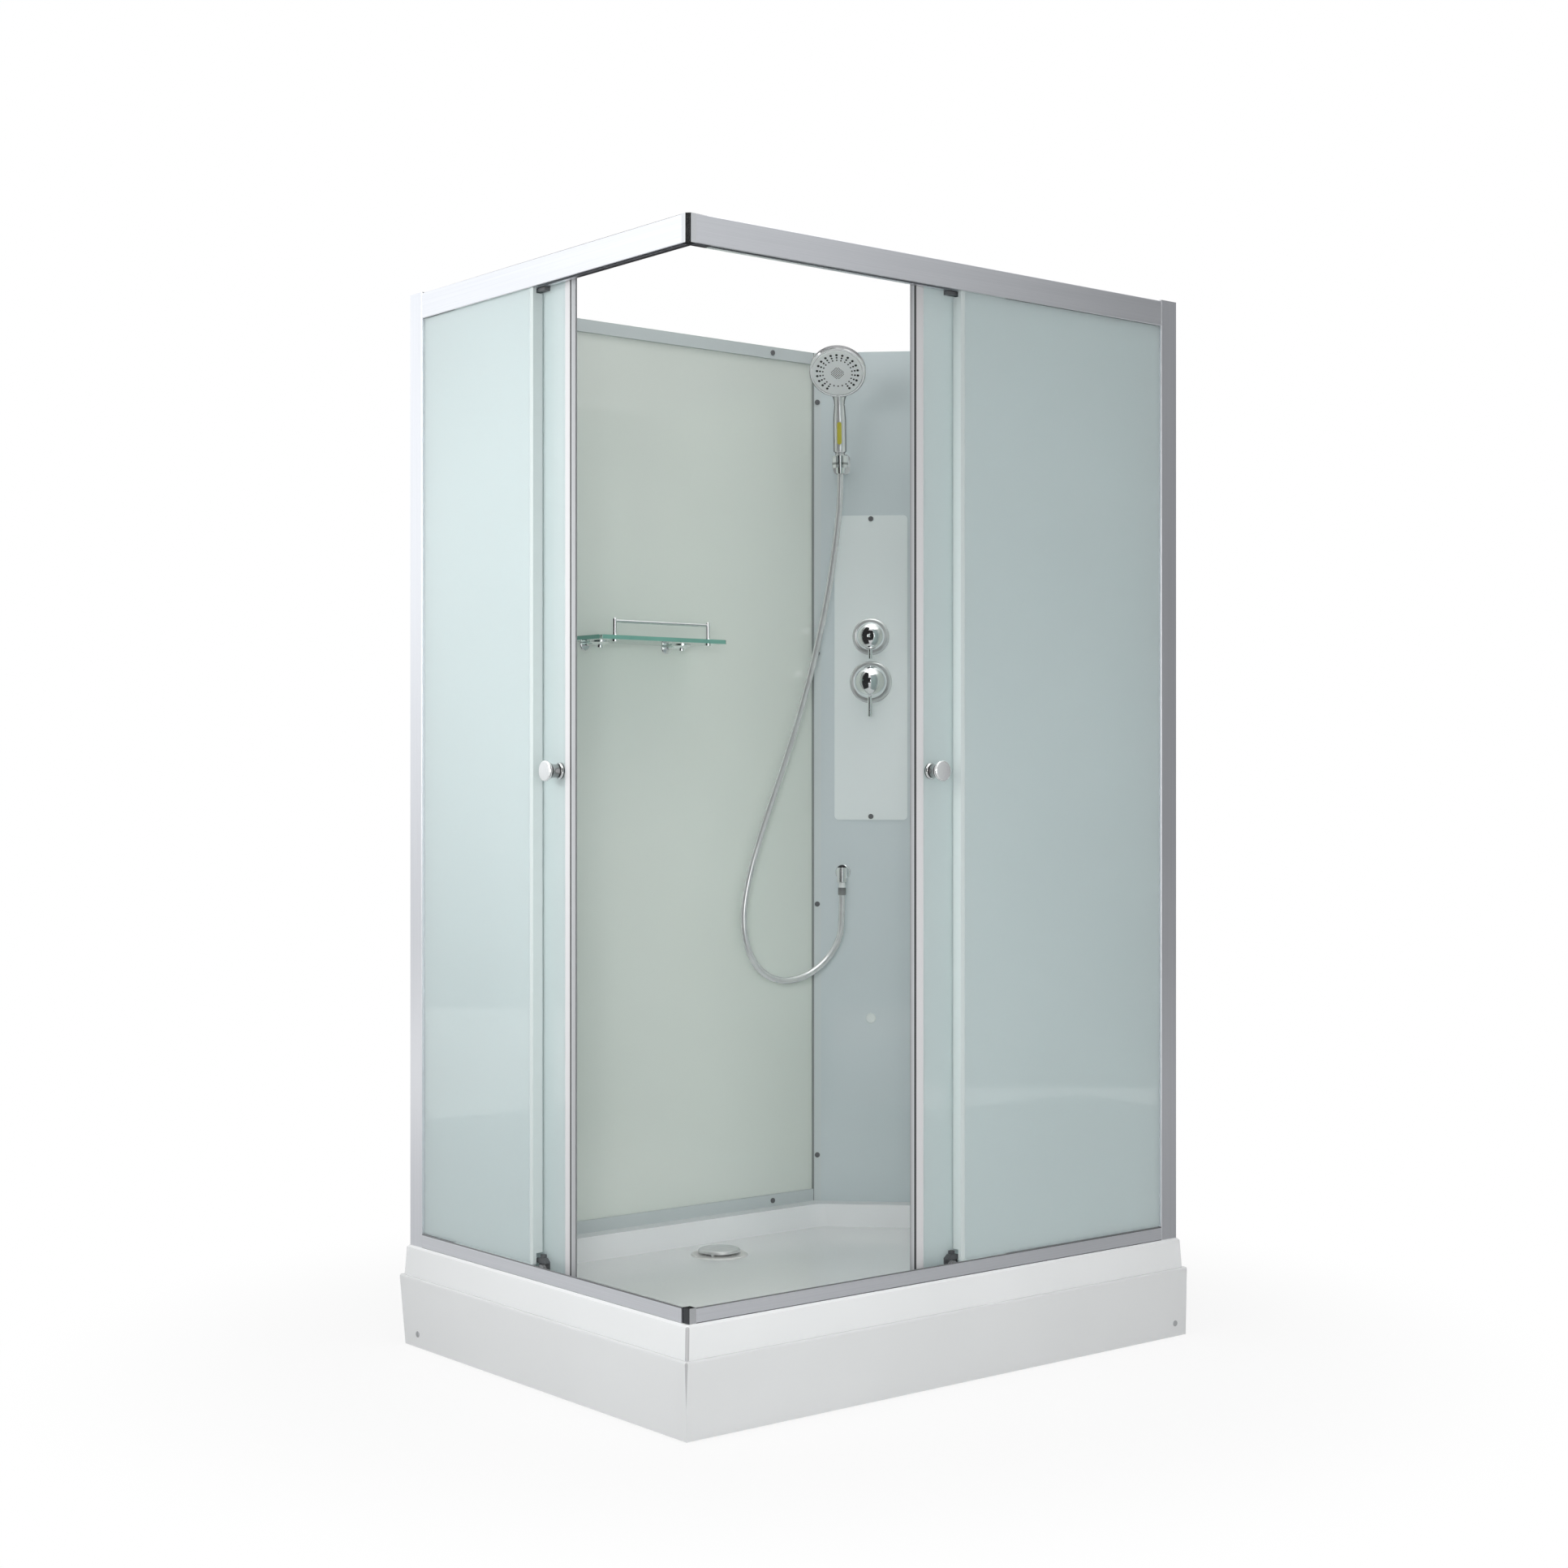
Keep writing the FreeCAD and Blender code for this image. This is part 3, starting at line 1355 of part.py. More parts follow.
def shelf_gallery():
    back, front = shelf_rows()
    y = front + gallery_from_front
    top = shelf_z + shelf_thickness
    foot = gallery_foot_radius
    posts = []
    ends = []
    for side in (-0.5, 0.5):
        x = shelf_mid_x + side * gallery_spacing
        low = shelf_z - gallery_foot_height
        steps = [(0, low), (foot, low), (foot, shelf_z), (gallery_post_radius, shelf_z),
                 (gallery_post_radius, top), (foot, top), (foot - 1, top + gallery_foot_height / 2),
                 (gallery_post_radius, top + gallery_foot_height / 2),
                 (gallery_post_radius, top + gallery_height - 1), (gallery_post_radius - 1, top + gallery_height),
                 (0, top + gallery_height)]
        posts.append(turned(steps, Vector(x, y, 0), Vector(0, 0, 1)))
        ends.append(Vector(x, y, top + gallery_height - gallery_bar_drop))
    bar = rod(ends[0], ends[1], gallery_bar_radius)
    for upright in posts:
        bar = bar.cut(upright)
    return Part.makeCompound(posts + [bar.Solids[0]])


def all_pieces():
    pieces = {
        "tray": tray(), "tray_apron": tray_apron(), "apron_screws": apron_screws(),
        "tray_frame": tray_frame(), "levelling_feet": levelling_feet(),
        "waste_trap": waste_trap(), "waste_cover": waste_cover(),
        "corner_joints": corner_joints(), "panel_seals": panel_seals(),
        "back_wall_glass": wall_glass_box("back", 0), "side_wall_glass": wall_glass_box("side", 0),
        "wall_rails": wall_rails(), "wall_profiles": wall_profiles(), "screw_caps": screw_caps(),
        "column_panel": column_panel(), "control_plate": control_plate(), "escutcheons": escutcheons(),
        "valve_body": valve_body(), "mixer_spindle": mixer_spindle(), "mixer_handle": mixer_handle(),
        "diverter_knob": diverter_knob(), "outlet_pipe": outlet_pipe(), "outlet_elbow": outlet_elbow(),
        "hose_lower_nut": hose_lower_nut(), "blanking_plug": blanking_plug(),
        "shower_holder": shower_holder(), "hose_upper_nut": hose_upper_nut(),
        "handset_body": handset_body(), "handset_face": handset_face(),
        "handset_grip_strip": handset_grip_strip(), "shower_hose": shower_hose(),
        "shelf_glass": shelf_glass(), "shelf_brackets": shelf_brackets(), "shelf_gallery": shelf_gallery(),
    }
    makers = {"post": post, "header": header, "bottom_rail": bottom_rail, "fixed_glass": fixed_glass,
              "door_glass": door_glass, "door_stile": door_stile, "door_seals": door_seals,
              "door_knobs": door_knobs, "door_brackets": door_brackets}
    for side, span in spans.items():
        for name, maker in makers.items():
            pieces[side + "_" + name] = on_side(maker(span), side)
        for place, (w, at_top) in roller_places(span).items():
            pieces[side + "_wheel_" + place] = on_side(wheel(w, at_top), side)
    return pieces


def main():
    os.makedirs("parts", exist_ok=True)
    for name, shape in all_pieces().items():
        shape.exportStep(os.path.join("parts", name + ".step"))


main()
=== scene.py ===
import bpy
import bmesh
import json
import math
from mathutils import Matrix, Vector
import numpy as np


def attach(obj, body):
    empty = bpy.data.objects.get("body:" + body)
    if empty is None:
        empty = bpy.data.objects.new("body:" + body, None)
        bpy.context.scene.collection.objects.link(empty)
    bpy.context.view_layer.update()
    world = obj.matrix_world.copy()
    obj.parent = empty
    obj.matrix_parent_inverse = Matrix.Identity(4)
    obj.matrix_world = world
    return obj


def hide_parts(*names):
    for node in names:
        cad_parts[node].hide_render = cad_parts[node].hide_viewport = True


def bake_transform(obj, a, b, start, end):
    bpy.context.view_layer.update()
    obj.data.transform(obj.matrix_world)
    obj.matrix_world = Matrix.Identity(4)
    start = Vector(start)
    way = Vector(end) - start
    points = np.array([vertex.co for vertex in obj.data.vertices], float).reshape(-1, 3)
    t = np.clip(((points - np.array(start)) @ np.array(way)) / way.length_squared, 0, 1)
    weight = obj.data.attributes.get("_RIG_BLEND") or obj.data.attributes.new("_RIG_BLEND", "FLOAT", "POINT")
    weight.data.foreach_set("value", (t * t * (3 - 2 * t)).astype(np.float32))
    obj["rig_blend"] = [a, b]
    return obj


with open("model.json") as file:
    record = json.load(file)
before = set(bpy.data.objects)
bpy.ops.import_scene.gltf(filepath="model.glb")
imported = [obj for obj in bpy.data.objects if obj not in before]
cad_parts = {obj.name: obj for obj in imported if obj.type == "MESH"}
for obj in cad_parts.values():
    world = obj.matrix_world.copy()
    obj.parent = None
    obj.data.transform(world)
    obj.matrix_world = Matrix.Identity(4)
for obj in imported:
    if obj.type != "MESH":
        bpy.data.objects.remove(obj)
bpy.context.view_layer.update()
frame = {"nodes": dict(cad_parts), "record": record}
nodes = frame["nodes"]
record = frame["record"]
bodyOf = {node: body for body, members in record["behaviour"]["bodies"].items() for node in members}
scene = bpy.context.scene
mm = 0.001
print("cabin frame loaded,", len(nodes), "nodes")


# camera, as the photograph was taken
view = {"place": (-2.9096, -3.5229, 1.0607), "yaw": 39.266, "lens": 55.1, "shiftY": -0.0013,
        "sensor": 36, "farthest": 60}


def makeCamera():
    data = bpy.data.cameras.new("photoCamera")
    data.sensor_width = view["sensor"]
    data.sensor_height = view["sensor"]
    data.lens = view["lens"]
    data.shift_y = view["shiftY"]
    data.clip_end = view["farthest"]
    camera = bpy.data.objects.new("photoCamera", data)
    camera.location = view["place"]
    camera.rotation_euler = (math.radians(90), 0, math.radians(-view["yaw"]))
    scene.collection.objects.link(camera)
    scene.camera = camera


makeCamera()
print("camera set")


# a shader value that takes Python operators
class Wire:
    def __init__(self, finish, socket):
        self.finish = finish
        self.socket = socket

    def math(self, operation, first, second):
        return self.finish.node("ShaderNodeMath", {"operation": operation}, {0: first, 1: second})

    def __add__(self, other):
        return self.math("ADD", self, other)

    def __radd__(self, other):
        return self.math("ADD", other, self)

    def __sub__(self, other):
        return self.math("SUBTRACT", self, other)

    def __rsub__(self, other):
        return self.math("SUBTRACT", other, self)

    def __mul__(self, other):
        return self.math("MULTIPLY", self, other)

    def __rmul__(self, other):
        return self.math("MULTIPLY", other, self)

    def __gt__(self, other):
        return self.math("GREATER_THAN", self, other)

    def __lt__(self, other):
        return self.math("LESS_THAN", self, other)

    def __abs__(self):
        return self.math("ABSOLUTE", self, 0)

    def atLeast(self, other):
        return self.math("MAXIMUM", self, other)


noiseLook = {"span": (0.3, 0.7), "soft": 2.0, "fine": 3.0}  # span is where most of a noise's values lie
silverTint = (0.98, 1, 1)


def shaded(colour, share):
    return tuple(share * c for c in colour)


def tinted(bands, tint):
    return [(at, shaded(tint, tone)) for at, tone in bands]


# a base roughness and how much a noise adds to it
def roughened(amounts, noise):
    base, added = amounts
    return base + added * noise


# a material, or the world, built node by node
class Finish:
    def __init__(self, name, owner=None):
        self.material = owner or bpy.data.materials.new(name)
        self.material.use_nodes = True
        self.tree = self.material.node_tree
        self.tree.nodes.clear()

    def node(self, kind, settings=None, inputs=None, out=0):
        made = self.tree.nodes.new(kind)
        for key, value in (settings or {}).items():
            if key == "stops":
                ramp = made.color_ramp.elements
                while len(ramp) < len(value):
                    ramp.new(0.5)
                for stop, (position, colour) in zip(ramp, value):
                    stop.position = position
                    stop.color = (*colour, 1)
            else:
                setattr(made, key, value)
        for key, value in (inputs or {}).items():
            if isinstance(value, Wire):
                self.tree.links.new(value.socket, made.inputs[key])
            else:
                made.inputs[key].default_value = value
        return Wire(self, made.outputs[out]) if made.outputs else None

    def place(self, scale=(1, 1, 1)):
        here = self.node("ShaderNodeTexCoord", out="Object")
        return self.node("ShaderNodeMapping", {}, {"Vector": here, "Scale": scale})

    def along(self, axis):
        return self.node("ShaderNodeSeparateXYZ", {}, {0: self.place()}, out=axis)

    def noise(self, scale, detail=noiseLook["soft"], stretch=(1, 1, 1)):
        where = self.place(stretch)
        return self.node("ShaderNodeTexNoise", {}, {"Vector": where, "Scale": scale, "Detail": detail})

    def ramp(self, factor, stops):
        return self.node("ShaderNodeValToRGB", {"stops": stops}, {"Fac": factor})

    # one tone drifting into another with a noise
    def cloudy(self, noise, dark, light):
        return self.ramp(noise, list(zip(noiseLook["span"], (dark, light))))

    # a plain colour, and another where the mask is one
    def marked(self, mask, plain, mark):
        return self.ramp(mask, [(0.0, plain), (1.0, mark)])

    def mixed(self, mask, first, second):
        return self.node("ShaderNodeMix", {"data_type": "RGBA"}, {0: mask, 6: first, 7: (*second, 1)}, out=2)

    def bump(self, height, amounts):
        strength, distance = amounts
        return self.node("ShaderNodeBump", {}, {"Height": height, "Strength": strength,
                                                "Distance": distance})

    def principled(self, inputs):
        return self.node("ShaderNodeBsdfPrincipled", {}, inputs)

    def blended(self, mask, first, second):
        return self.node("ShaderNodeMixShader", {}, {0: mask, 1: first, 2: second})

    def output(self, shader, kind="ShaderNodeOutputMaterial"):
        self.node(kind, {}, {"Surface": shader})
        return self.material

    def surface(self, inputs):
        return self.output(self.principled(inputs))


# white acrylic; painted shade as a thin grey line along the front corner, leaning in with height on the
# tray's band
acrylicLook = {"light": (0.87, 0.885, 0.89), "dark": (0.83, 0.845, 0.85), "cornerShade": (0.50, 0.50, 0.51),
               "cloud": 3.0, "dust": 260.0, "rough": (0.16, 0.10), "ior": 1.49, "coat": 0.25,
               "coatRough": 0.08, "bump": (0.04, 0.0004), "trayCorner": -1.0485, "trayLean": 0.115,
               "apronCorner": -1.0465, "apronShade": 0.89}


def acrylic(name, corner, lean=0.0, shade=1.0):
    look = acrylicLook
    f = Finish(name)
    dust = f.noise(look["dust"], noiseLook["fine"])
    plain = f.cloudy(f.noise(look["cloud"]), shaded(look["dark"], shade), shaded(look["light"], shade))
    # the thin grey line at the front corner is painted shade
    atCorner = f.along(0) + f.along(1) - lean * f.along(2) < corner
    return f.surface({"Base Color": f.mixed(atCorner, plain, look["cornerShade"]),
                      "Roughness": roughened(look["rough"], dust), "IOR": look["ior"],
                      "Coat Weight": look["coat"], "Coat Roughness": look["coatRough"],
                      "Normal": f.bump(dust, look["bump"])})


# how finely the drawn lines of a profile repeat along each axis, by the way the profile runs
grainAlong = {"x": (3, 900, 900), "y": (900, 3, 900), "z": (900, 900, 3)}
# profiles of drawn aluminium; the bottom rails have painted shade, dark below and above the two heights of
# their joints, and the right rail is painted lighter, as painted light
aluminiumLook = {"light": (0.87, 0.88, 0.91), "dark": (0.82, 0.83, 0.86), "joint": (0.22, 0.225, 0.23),
                 "cloud": 4.0, "rough": (0.24, 0.12), "cloudRough": 0.05, "bump": (0.06, 0.0002),
                 "leftShadeLines": (0.1875, 0.2107), "rightShadeLines": (0.1884, 0.2107), "rightPaintedLight": 1.09}


def aluminium(name, run, shadeLines=None, shade=1.0):
    look = aluminiumLook
    f = Finish(name)
    lines = f.noise(1.0, noiseLook["fine"], grainAlong[run])
    # a shade above one paints the whole profile lighter, as painted light on the right rail
    colour = f.cloudy(lines, shaded(look["dark"], shade), shaded(look["light"], shade))
    # the dark lines below and above the two heights are painted shade
    if shadeLines:
        inShadeLine = (f.along(2) < shadeLines[0]).atLeast(f.along(2) > shadeLines[1])
        colour = f.mixed(inShadeLine, colour, look["joint"])
    cloud = look["cloudRough"] * f.noise(look["cloud"])
    return f.surface({"Base Color": colour, "Metallic": 1.0,
                      "Roughness": roughened(look["rough"], lines) + cloud,
                      "Normal": f.bump(lines, look["bump"])})


# frosted panes under a clear gloss; the doors' are a little darker
frostLook = {"light": (0.74, 0.845, 0.85), "dark": (0.71, 0.815, 0.82), "clearness": 0.45, "cloud": 2.0,
             "etch": 1500.0, "rough": (0.42, 0.12), "ior": 1.45, "coatRough": 0.02, "coatIor": 1.5,
             "doorShade": 0.93}


def frosted(name, shade=1.0):
    look = frostLook
    f = Finish(name)
    etch = f.noise(look["etch"])
    colour = f.cloudy(f.noise(look["cloud"]), shaded(look["dark"], shade), shaded(look["light"], shade))
    return f.surface({"Base Color": colour, "Roughness": roughened(look["rough"], etch), "IOR": look["ior"],
                      "Transmission Weight": look["clearness"], "Coat Weight": 1.0,
                      "Coat Roughness": look["coatRough"], "Coat IOR": look["coatIor"]})


# dark strips in the posts, milky ones on the free edges of the fixed panes
sealLook = {"postFrom": -0.3, "post": (0.16, 0.17, 0.18), "edge": (0.58, 0.645, 0.64), "grain": 500.0,
            "rough": (0.34, 0.2), "bump": (0.1, 0.0003)}


def panelSeal(name):
    look = sealLook
    f = Finish(name)
    inPost = f.along(0) + f.along(1) > look["postFrom"]
    grain = f.noise(look["grain"], noiseLook["fine"])
    return f.surface({"Base Color": f.marked(inPost, look["edge"], look["post"]),
                      "Roughness": roughened(look["rough"], grain), "Normal": f.bump(grain, look["bump"])})


# lip of a door seal from its tip inwards, with painted shade as the dark line at the stile; the seals behind
# are plain grey
lipLook = {"tip": -0.081, "reach": 0.020, "tint": (0.97, 1, 1.03), "grain": 500.0, "rough": (0.36, 0.2),
           "bump": (0.1, 0.0003),
           "left": [(0.0, 0.34), (0.10, 0.40), (0.62, 0.46), (0.66, 0.05), (0.70, 0.05), (0.74, 0.42),
                    (1.0, 0.42)],
           "right": [(0.0, 0.22), (0.08, 0.36), (0.31, 0.50), (0.46, 0.62), (0.49, 0.045), (0.70, 0.045),
                     (0.74, 0.42), (1.0, 0.42)]}


def doorSeal(name, side):
    look = lipLook
    f = Finish(name)
    across = f.along(0).atLeast(f.along(1))
    share = (across - look["tip"]) * (1 / look["reach"])
    grain = f.noise(look["grain"], noiseLook["fine"])
    # the dark line near the stile in these tones is painted shade
    return f.surface({"Base Color": f.ramp(share, tinted(look[side], look["tint"])),
                      "Roughness": roughened(look["rough"], grain), "Normal": f.bump(grain, look["bump"])})


def satinMetal(f, look, colour):
    grain = f.noise(1.0, noiseLook["fine"], grainAlong["z"])
    return f.surface({"Base Color": colour, "Roughness": roughened(look["rough"], grain),
                      "Coat Weight": look["coat"], "Coat Roughness": look["coatRough"],
                      "Normal": f.bump(grain, look["bump"])})


# door stiles of satin metal, with painted shade as a dark line along the leading edge, widest on the left
# one
stileLook = {"edge": -0.067, "left": 0.0026, "right": 0.0002, "joint": (0.07, 0.07, 0.075),
             "satin": (0.64, 0.64, 0.65), "rough": (0.32, 0.12), "coat": 0.2, "coatRough": 0.04,
             "bump": (0.04, 0.0003)}


def stileSatin(name, side):
    look = stileLook
    f = Finish(name)
    # the dark line along the leading edge is painted shade
    inShadeLine = f.along(0).atLeast(f.along(1)) < look["edge"] + look[side]
    return satinMetal(f, look, f.marked(inShadeLine, look["satin"], look["joint"]))


# grey uprights and bars of the rear walls, with painted shade as a dark line against the glass
wallLook = {"x": 0.394, "y": 0.244, "width": 0.0008, "grey": (0.56, 0.615, 0.62),
            "line": (0.25, 0.275, 0.27), "rough": (0.34, 0.12), "coat": 0.3, "coatRough": 0.1,
            "bump": (0.05, 0.0003)}


def wallMetal(name):
    look = wallLook
    f = Finish(name)
    # the dark lines at the glass are painted shade
    atBack = abs(f.along(0) - look["x"]) < look["width"]
    atSide = abs(f.along(1) - look["y"]) < look["width"]
    return satinMetal(f, look, f.marked(atBack.atLeast(atSide), look["grey"], look["line"]))


# smooth coloured sheet or moulding under a clear gloss
paintLook = {"cloud": 2.2, "grain": 600.0, "grainRough": 0.12, "coatRough": 0.04, "bump": (0.03, 0.0003)}


def painted(name, dark, light, roughness, coat):
    look = paintLook
    f = Finish(name)
    grain = f.noise(look["grain"], noiseLook["fine"])
    return f.surface({"Base Color": f.cloudy(f.noise(look["cloud"]), dark, light),
                      "Roughness": roughened((roughness, look["grainRough"]), grain), "Coat Weight": coat,
                      "Coat Roughness": look["coatRough"], "Normal": f.bump(grain, look["bump"])})


# plastic and rubber
matteLook = {"cloud": 30.0, "grain": 900.0, "rough": (0.42, 0.2), "bump": (0.15, 0.0004)}


def matte(name, dark, light):
    look = matteLook
    f = Finish(name)
    grain = f.noise(look["grain"], noiseLook["fine"])
    return f.surface({"Base Color": f.cloudy(f.noise(look["cloud"]), dark, light),
                      "Roughness": roughened(look["rough"], grain), "Normal": f.bump(grain, look["bump"])})


# bright metals; a share below one is a silvery paint or plating over plastic
metalLook = {"cloud": 60.0, "cloudRough": 0.03, "smear": 14.0, "smearRough": 0.05}


def smearedRough(f, roughness):
    return roughened((roughness, metalLook["smearRough"]), f.noise(metalLook["smear"]))


def metal(name, dark, light, roughness, share=1.0):
    f = Finish(name)
    cloud = f.noise(metalLook["cloud"], noiseLook["fine"])
    return f.surface({"Base Color": f.cloudy(cloud, dark, light), "Metallic": share,
                      "Roughness": smearedRough(f, roughness) + metalLook["cloudRough"] * cloud})


# door knobs from the glass outwards: a dark washer, then painted reflections and painted shade as bands on
# the chrome: bright foot, dark groove, grey waist, dark groove and bright head
knobLook = {"length": 0.034, "left": (0, -0.559), "right": (1, -0.409), "roughness": 0.04, "share": 0.85,
            "bands": [(0.0, 0.90), (0.01, 0.04), (0.05, 0.04), (0.07, 0.85), (0.14, 0.85), (0.17, 0.05),
                      (0.24, 0.05), (0.28, 0.34), (0.66, 0.42), (0.70, 0.05), (0.82, 0.05), (0.87, 0.92),
                      (1.0, 0.92)]}
# hose ferrule, ribbed and dark, below its bright nut
nutLook = {"length": 0.0275, "foot": 0.820, "roughness": 0.08, "share": 0.35,
           "bands": [(0.0, 0.30), (0.56, 0.22), (0.60, 0.92), (1.0, 0.92)]}
# holder: rings around its cup, and a plain plate at the wall
holderLook = {"length": 0.044, "foot": 1.717, "roughness": 0.05, "share": 0.6, "plateFrom": 0.775,
              "plate": (0.86, 0.87, 0.88),
              "bands": [(0.0, 0.60), (0.10, 0.85), (0.32, 0.85), (0.36, 0.34), (0.42, 0.34), (0.46, 0.90),
                        (0.82, 0.90), (0.86, 0.30), (0.92, 0.30), (0.96, 0.85), (1.0, 0.85)]}


def banded(f, look, axis, start, way=1):
    share = (f.along(axis) - start) * (way / look["length"])
    return f.ramp(share, tinted(look["bands"], silverTint))


def plated(f, look, colour):
    return f.surface({"Base Color": colour, "Metallic": look["share"],
                      "Roughness": smearedRough(f, look["roughness"])})


def knobPaintedReflections(name, side):
    f = Finish(name)
    axis, glass = knobLook[side]
    # the bands are painted reflections and painted shade on the chrome, with the dark washer at the glass
    return plated(f, knobLook, banded(f, knobLook, axis, glass, -1))


def nutMetal(name):
    f = Finish(name)
    return plated(f, nutLook, banded(f, nutLook, 2, nutLook["foot"]))


def holderMetal(name):
    f = Finish(name)
    atWall = f.along(0) + f.along(1) > holderLook["plateFrom"]
    rings = banded(f, holderLook, 2, holderLook["foot"])
    return plated(f, holderLook, f.mixed(atWall, rings, holderLook["plate"]))


# plated hand shower with a painted reflection: its colour turns dark where the surface turns away
handleLook = {"core": (0.86, 0.87, 0.875), "side": (0.15, 0.155, 0.16), "turn": (0.26, 0.60), "share": 0.6,
              "smear": 14.0, "rough": (0.08, 0.05), "drift": 0.96}


def platedHandle(name):
    look = handleLook
    f = Finish(name)
    smear = f.noise(look["smear"])
    paintedReflectionShaders = []
    for tone in (look["core"], look["side"]):
        tint = f.cloudy(smear, shaded(tone, look["drift"]), tone)
        paintedReflectionShaders.append(f.principled({"Base Color": tint, "Metallic": look["share"],
                                   "Roughness": roughened(look["rough"], smear)}))
    # painted reflection: the dark tone takes over where the surface turns away
    facing = f.node("ShaderNodeLayerWeight", {}, {"Blend": 0.5}, out="Facing")
    first, last = look["turn"]
    turned = f.node("ShaderNodeMapRange", {}, {0: facing, 1: first, 2: last})
    return f.output(f.blended(turned, *paintedReflectionShaders))


# outlet elbow, painted dark on the front of its crown
elbowLook = {"cap": 0.8785, "inFront": 0.795, "chrome": (0.90, 0.91, 0.92), "dark": (0.02, 0.02, 0.022),
             "roughness": 0.03, "share": 0.8}


def elbowMetal(name):
    look = elbowLook
    f = Finish(name)
    capped = (f.along(2) > look["cap"]) * (f.along(0) + f.along(1) < look["inFront"])
    return plated(f, look, f.marked(capped, look["chrome"], look["dark"]))


# corner joints: the lower one has painted shade on its stepped-back side
cornerLook = {"below": 1.0, "face": -0.5824, "dark": (0.10, 0.105, 0.11), "light": (0.80, 0.81, 0.82),
              "grain": 40.0, "rough": (0.10, 0.08)}


def cornerMetal(name):
    look = cornerLook
    f = Finish(name)
    # painted shade on the stepped-back side of the lower joint
    paintedShadeSide = (f.along(2) < look["below"]) * (f.along(0) < look["face"])
    return f.surface({"Base Color": f.marked(paintedShadeSide, look["light"], look["dark"]), "Metallic": 1.0,
                      "Roughness": roughened(look["rough"], f.noise(look["grain"]))})


# shelf of green-edged clear glass
shelfLook = {"front": 0.2885, "ends": (-0.251, 0.059), "clear": (0.72, 0.88, 0.82),
             "edge": (0.16, 0.36, 0.30), "clearDrift": 0.96, "edgeDrift": 1.2, "smear": 18.0,
             "rough": (0.02, 0.03), "ior": 1.5, "clearness": 0.85}


def clearGlass(name):
    look = shelfLook
    f = Finish(name)
    smear = f.noise(look["smear"])
    rough = roughened(look["rough"], smear)
    low, high = look["ends"]
    rim = (f.along(1) < look["front"]).atLeast(f.along(0) < low).atLeast(f.along(0) > high)
    tint = f.cloudy(smear, shaded(look["clear"], look["clearDrift"]), look["clear"])
    deep = f.cloudy(smear, look["edge"], shaded(look["edge"], look["edgeDrift"]))
    clear = f.principled({"Base Color": tint, "Roughness": rough, "IOR": look["ior"],
                          "Transmission Weight": look["clearness"]})
    edge = f.principled({"Base Color": deep, "Roughness": rough, "IOR": look["ior"]})
    return f.output(f.blended(rim, clear, edge))


finishes = {
    "tray": acrylic("trayAcrylic", acrylicLook["trayCorner"], lean=acrylicLook["trayLean"]),
    "apron": acrylic("apronAcrylic", acrylicLook["apronCorner"], shade=acrylicLook["apronShade"]),
    "chrome": metal("chrome", (0.90, 0.91, 0.92), (0.94, 0.945, 0.95), roughness=0.03),
    "wallGlass": painted("wallGlass", (0.70, 0.755, 0.705), (0.735, 0.79, 0.74), roughness=0.12, coat=1.0),
    "frontGlass": frosted("frostedGlass"),
    "doorGlass": frosted("frostedDoor", frostLook["doorShade"]),
    "columnPanel": painted("columnPanel", (0.575, 0.645, 0.66), (0.605, 0.675, 0.69),
                           roughness=0.16, coat=0.8),
    "controlPlate": painted("controlPlate", (0.77, 0.83, 0.825), (0.80, 0.86, 0.855),
                            roughness=0.10, coat=1.0),
    "blank": painted("blankDisc", (0.70, 0.75, 0.73), (0.74, 0.78, 0.76), roughness=0.25, coat=0.3),
    "shelfGlass": clearGlass("shelfGlass"),
    "lineX": aluminium("profileAlongX", "x"),
    "lineY": aluminium("profileAlongY", "y"),
    "lineZ": aluminium("profileUpright", "z"),
    "leftRail": aluminium("leftRail", "y", aluminiumLook["leftShadeLines"]),
    "rightRail": aluminium("rightRail", "x", aluminiumLook["rightShadeLines"], aluminiumLook["rightPaintedLight"]),
    "wallMetal": wallMetal("wallMetal"),
    "nutSteel": nutMetal("nutSteel"),
    "elbow": elbowMetal("elbowChrome"),
    "corner": cornerMetal("cornerMetal"),
    "darkCap": matte("darkCap", (0.10, 0.105, 0.11), (0.15, 0.155, 0.16)),
    "greyCap": matte("greyCap", (0.34, 0.35, 0.36), (0.42, 0.43, 0.44)),
    "darkPlastic": matte("darkPlastic", (0.07, 0.075, 0.08), (0.11, 0.115, 0.12)),
    "wheelPlastic": matte("wheelPlastic", (0.30, 0.31, 0.32), (0.38, 0.39, 0.40)),
    "greySeal": panelSeal("panelSeal"),
    "trapPlastic": matte("trapPlastic", (0.70, 0.70, 0.69), (0.78, 0.78, 0.77)),
    "zincSteel": metal("zincSteel", (0.50, 0.51, 0.53), (0.66, 0.67, 0.69), roughness=0.34),
    "brass": metal("brass", (0.62, 0.47, 0.22), (0.74, 0.58, 0.30), roughness=0.28),
    "hoseSteel": metal("hoseSteel", (0.74, 0.75, 0.755), (0.84, 0.845, 0.85), roughness=0.10, share=0.6),
    "holder": holderMetal("holderChrome"),
    "handset": platedHandle("handsetSilver"),
    "plateChrome": metal("plateChrome", (0.72, 0.74, 0.74), (0.78, 0.80, 0.80), roughness=0.06, share=0.5),
    "wasteCap": metal("wasteCap", (0.70, 0.71, 0.71), (0.76, 0.77, 0.77), roughness=0.16, share=0.45),
    "sprayFace": painted("sprayFace", (0.74, 0.76, 0.76), (0.79, 0.81, 0.81), roughness=0.28, coat=0.3),
    "nozzle": matte("nozzleRubber", (0.010, 0.010, 0.011), (0.02, 0.02, 0.022)),
    "grip": matte("gripStrip", (0.42, 0.38, 0.03), (0.50, 0.46, 0.05)),
}
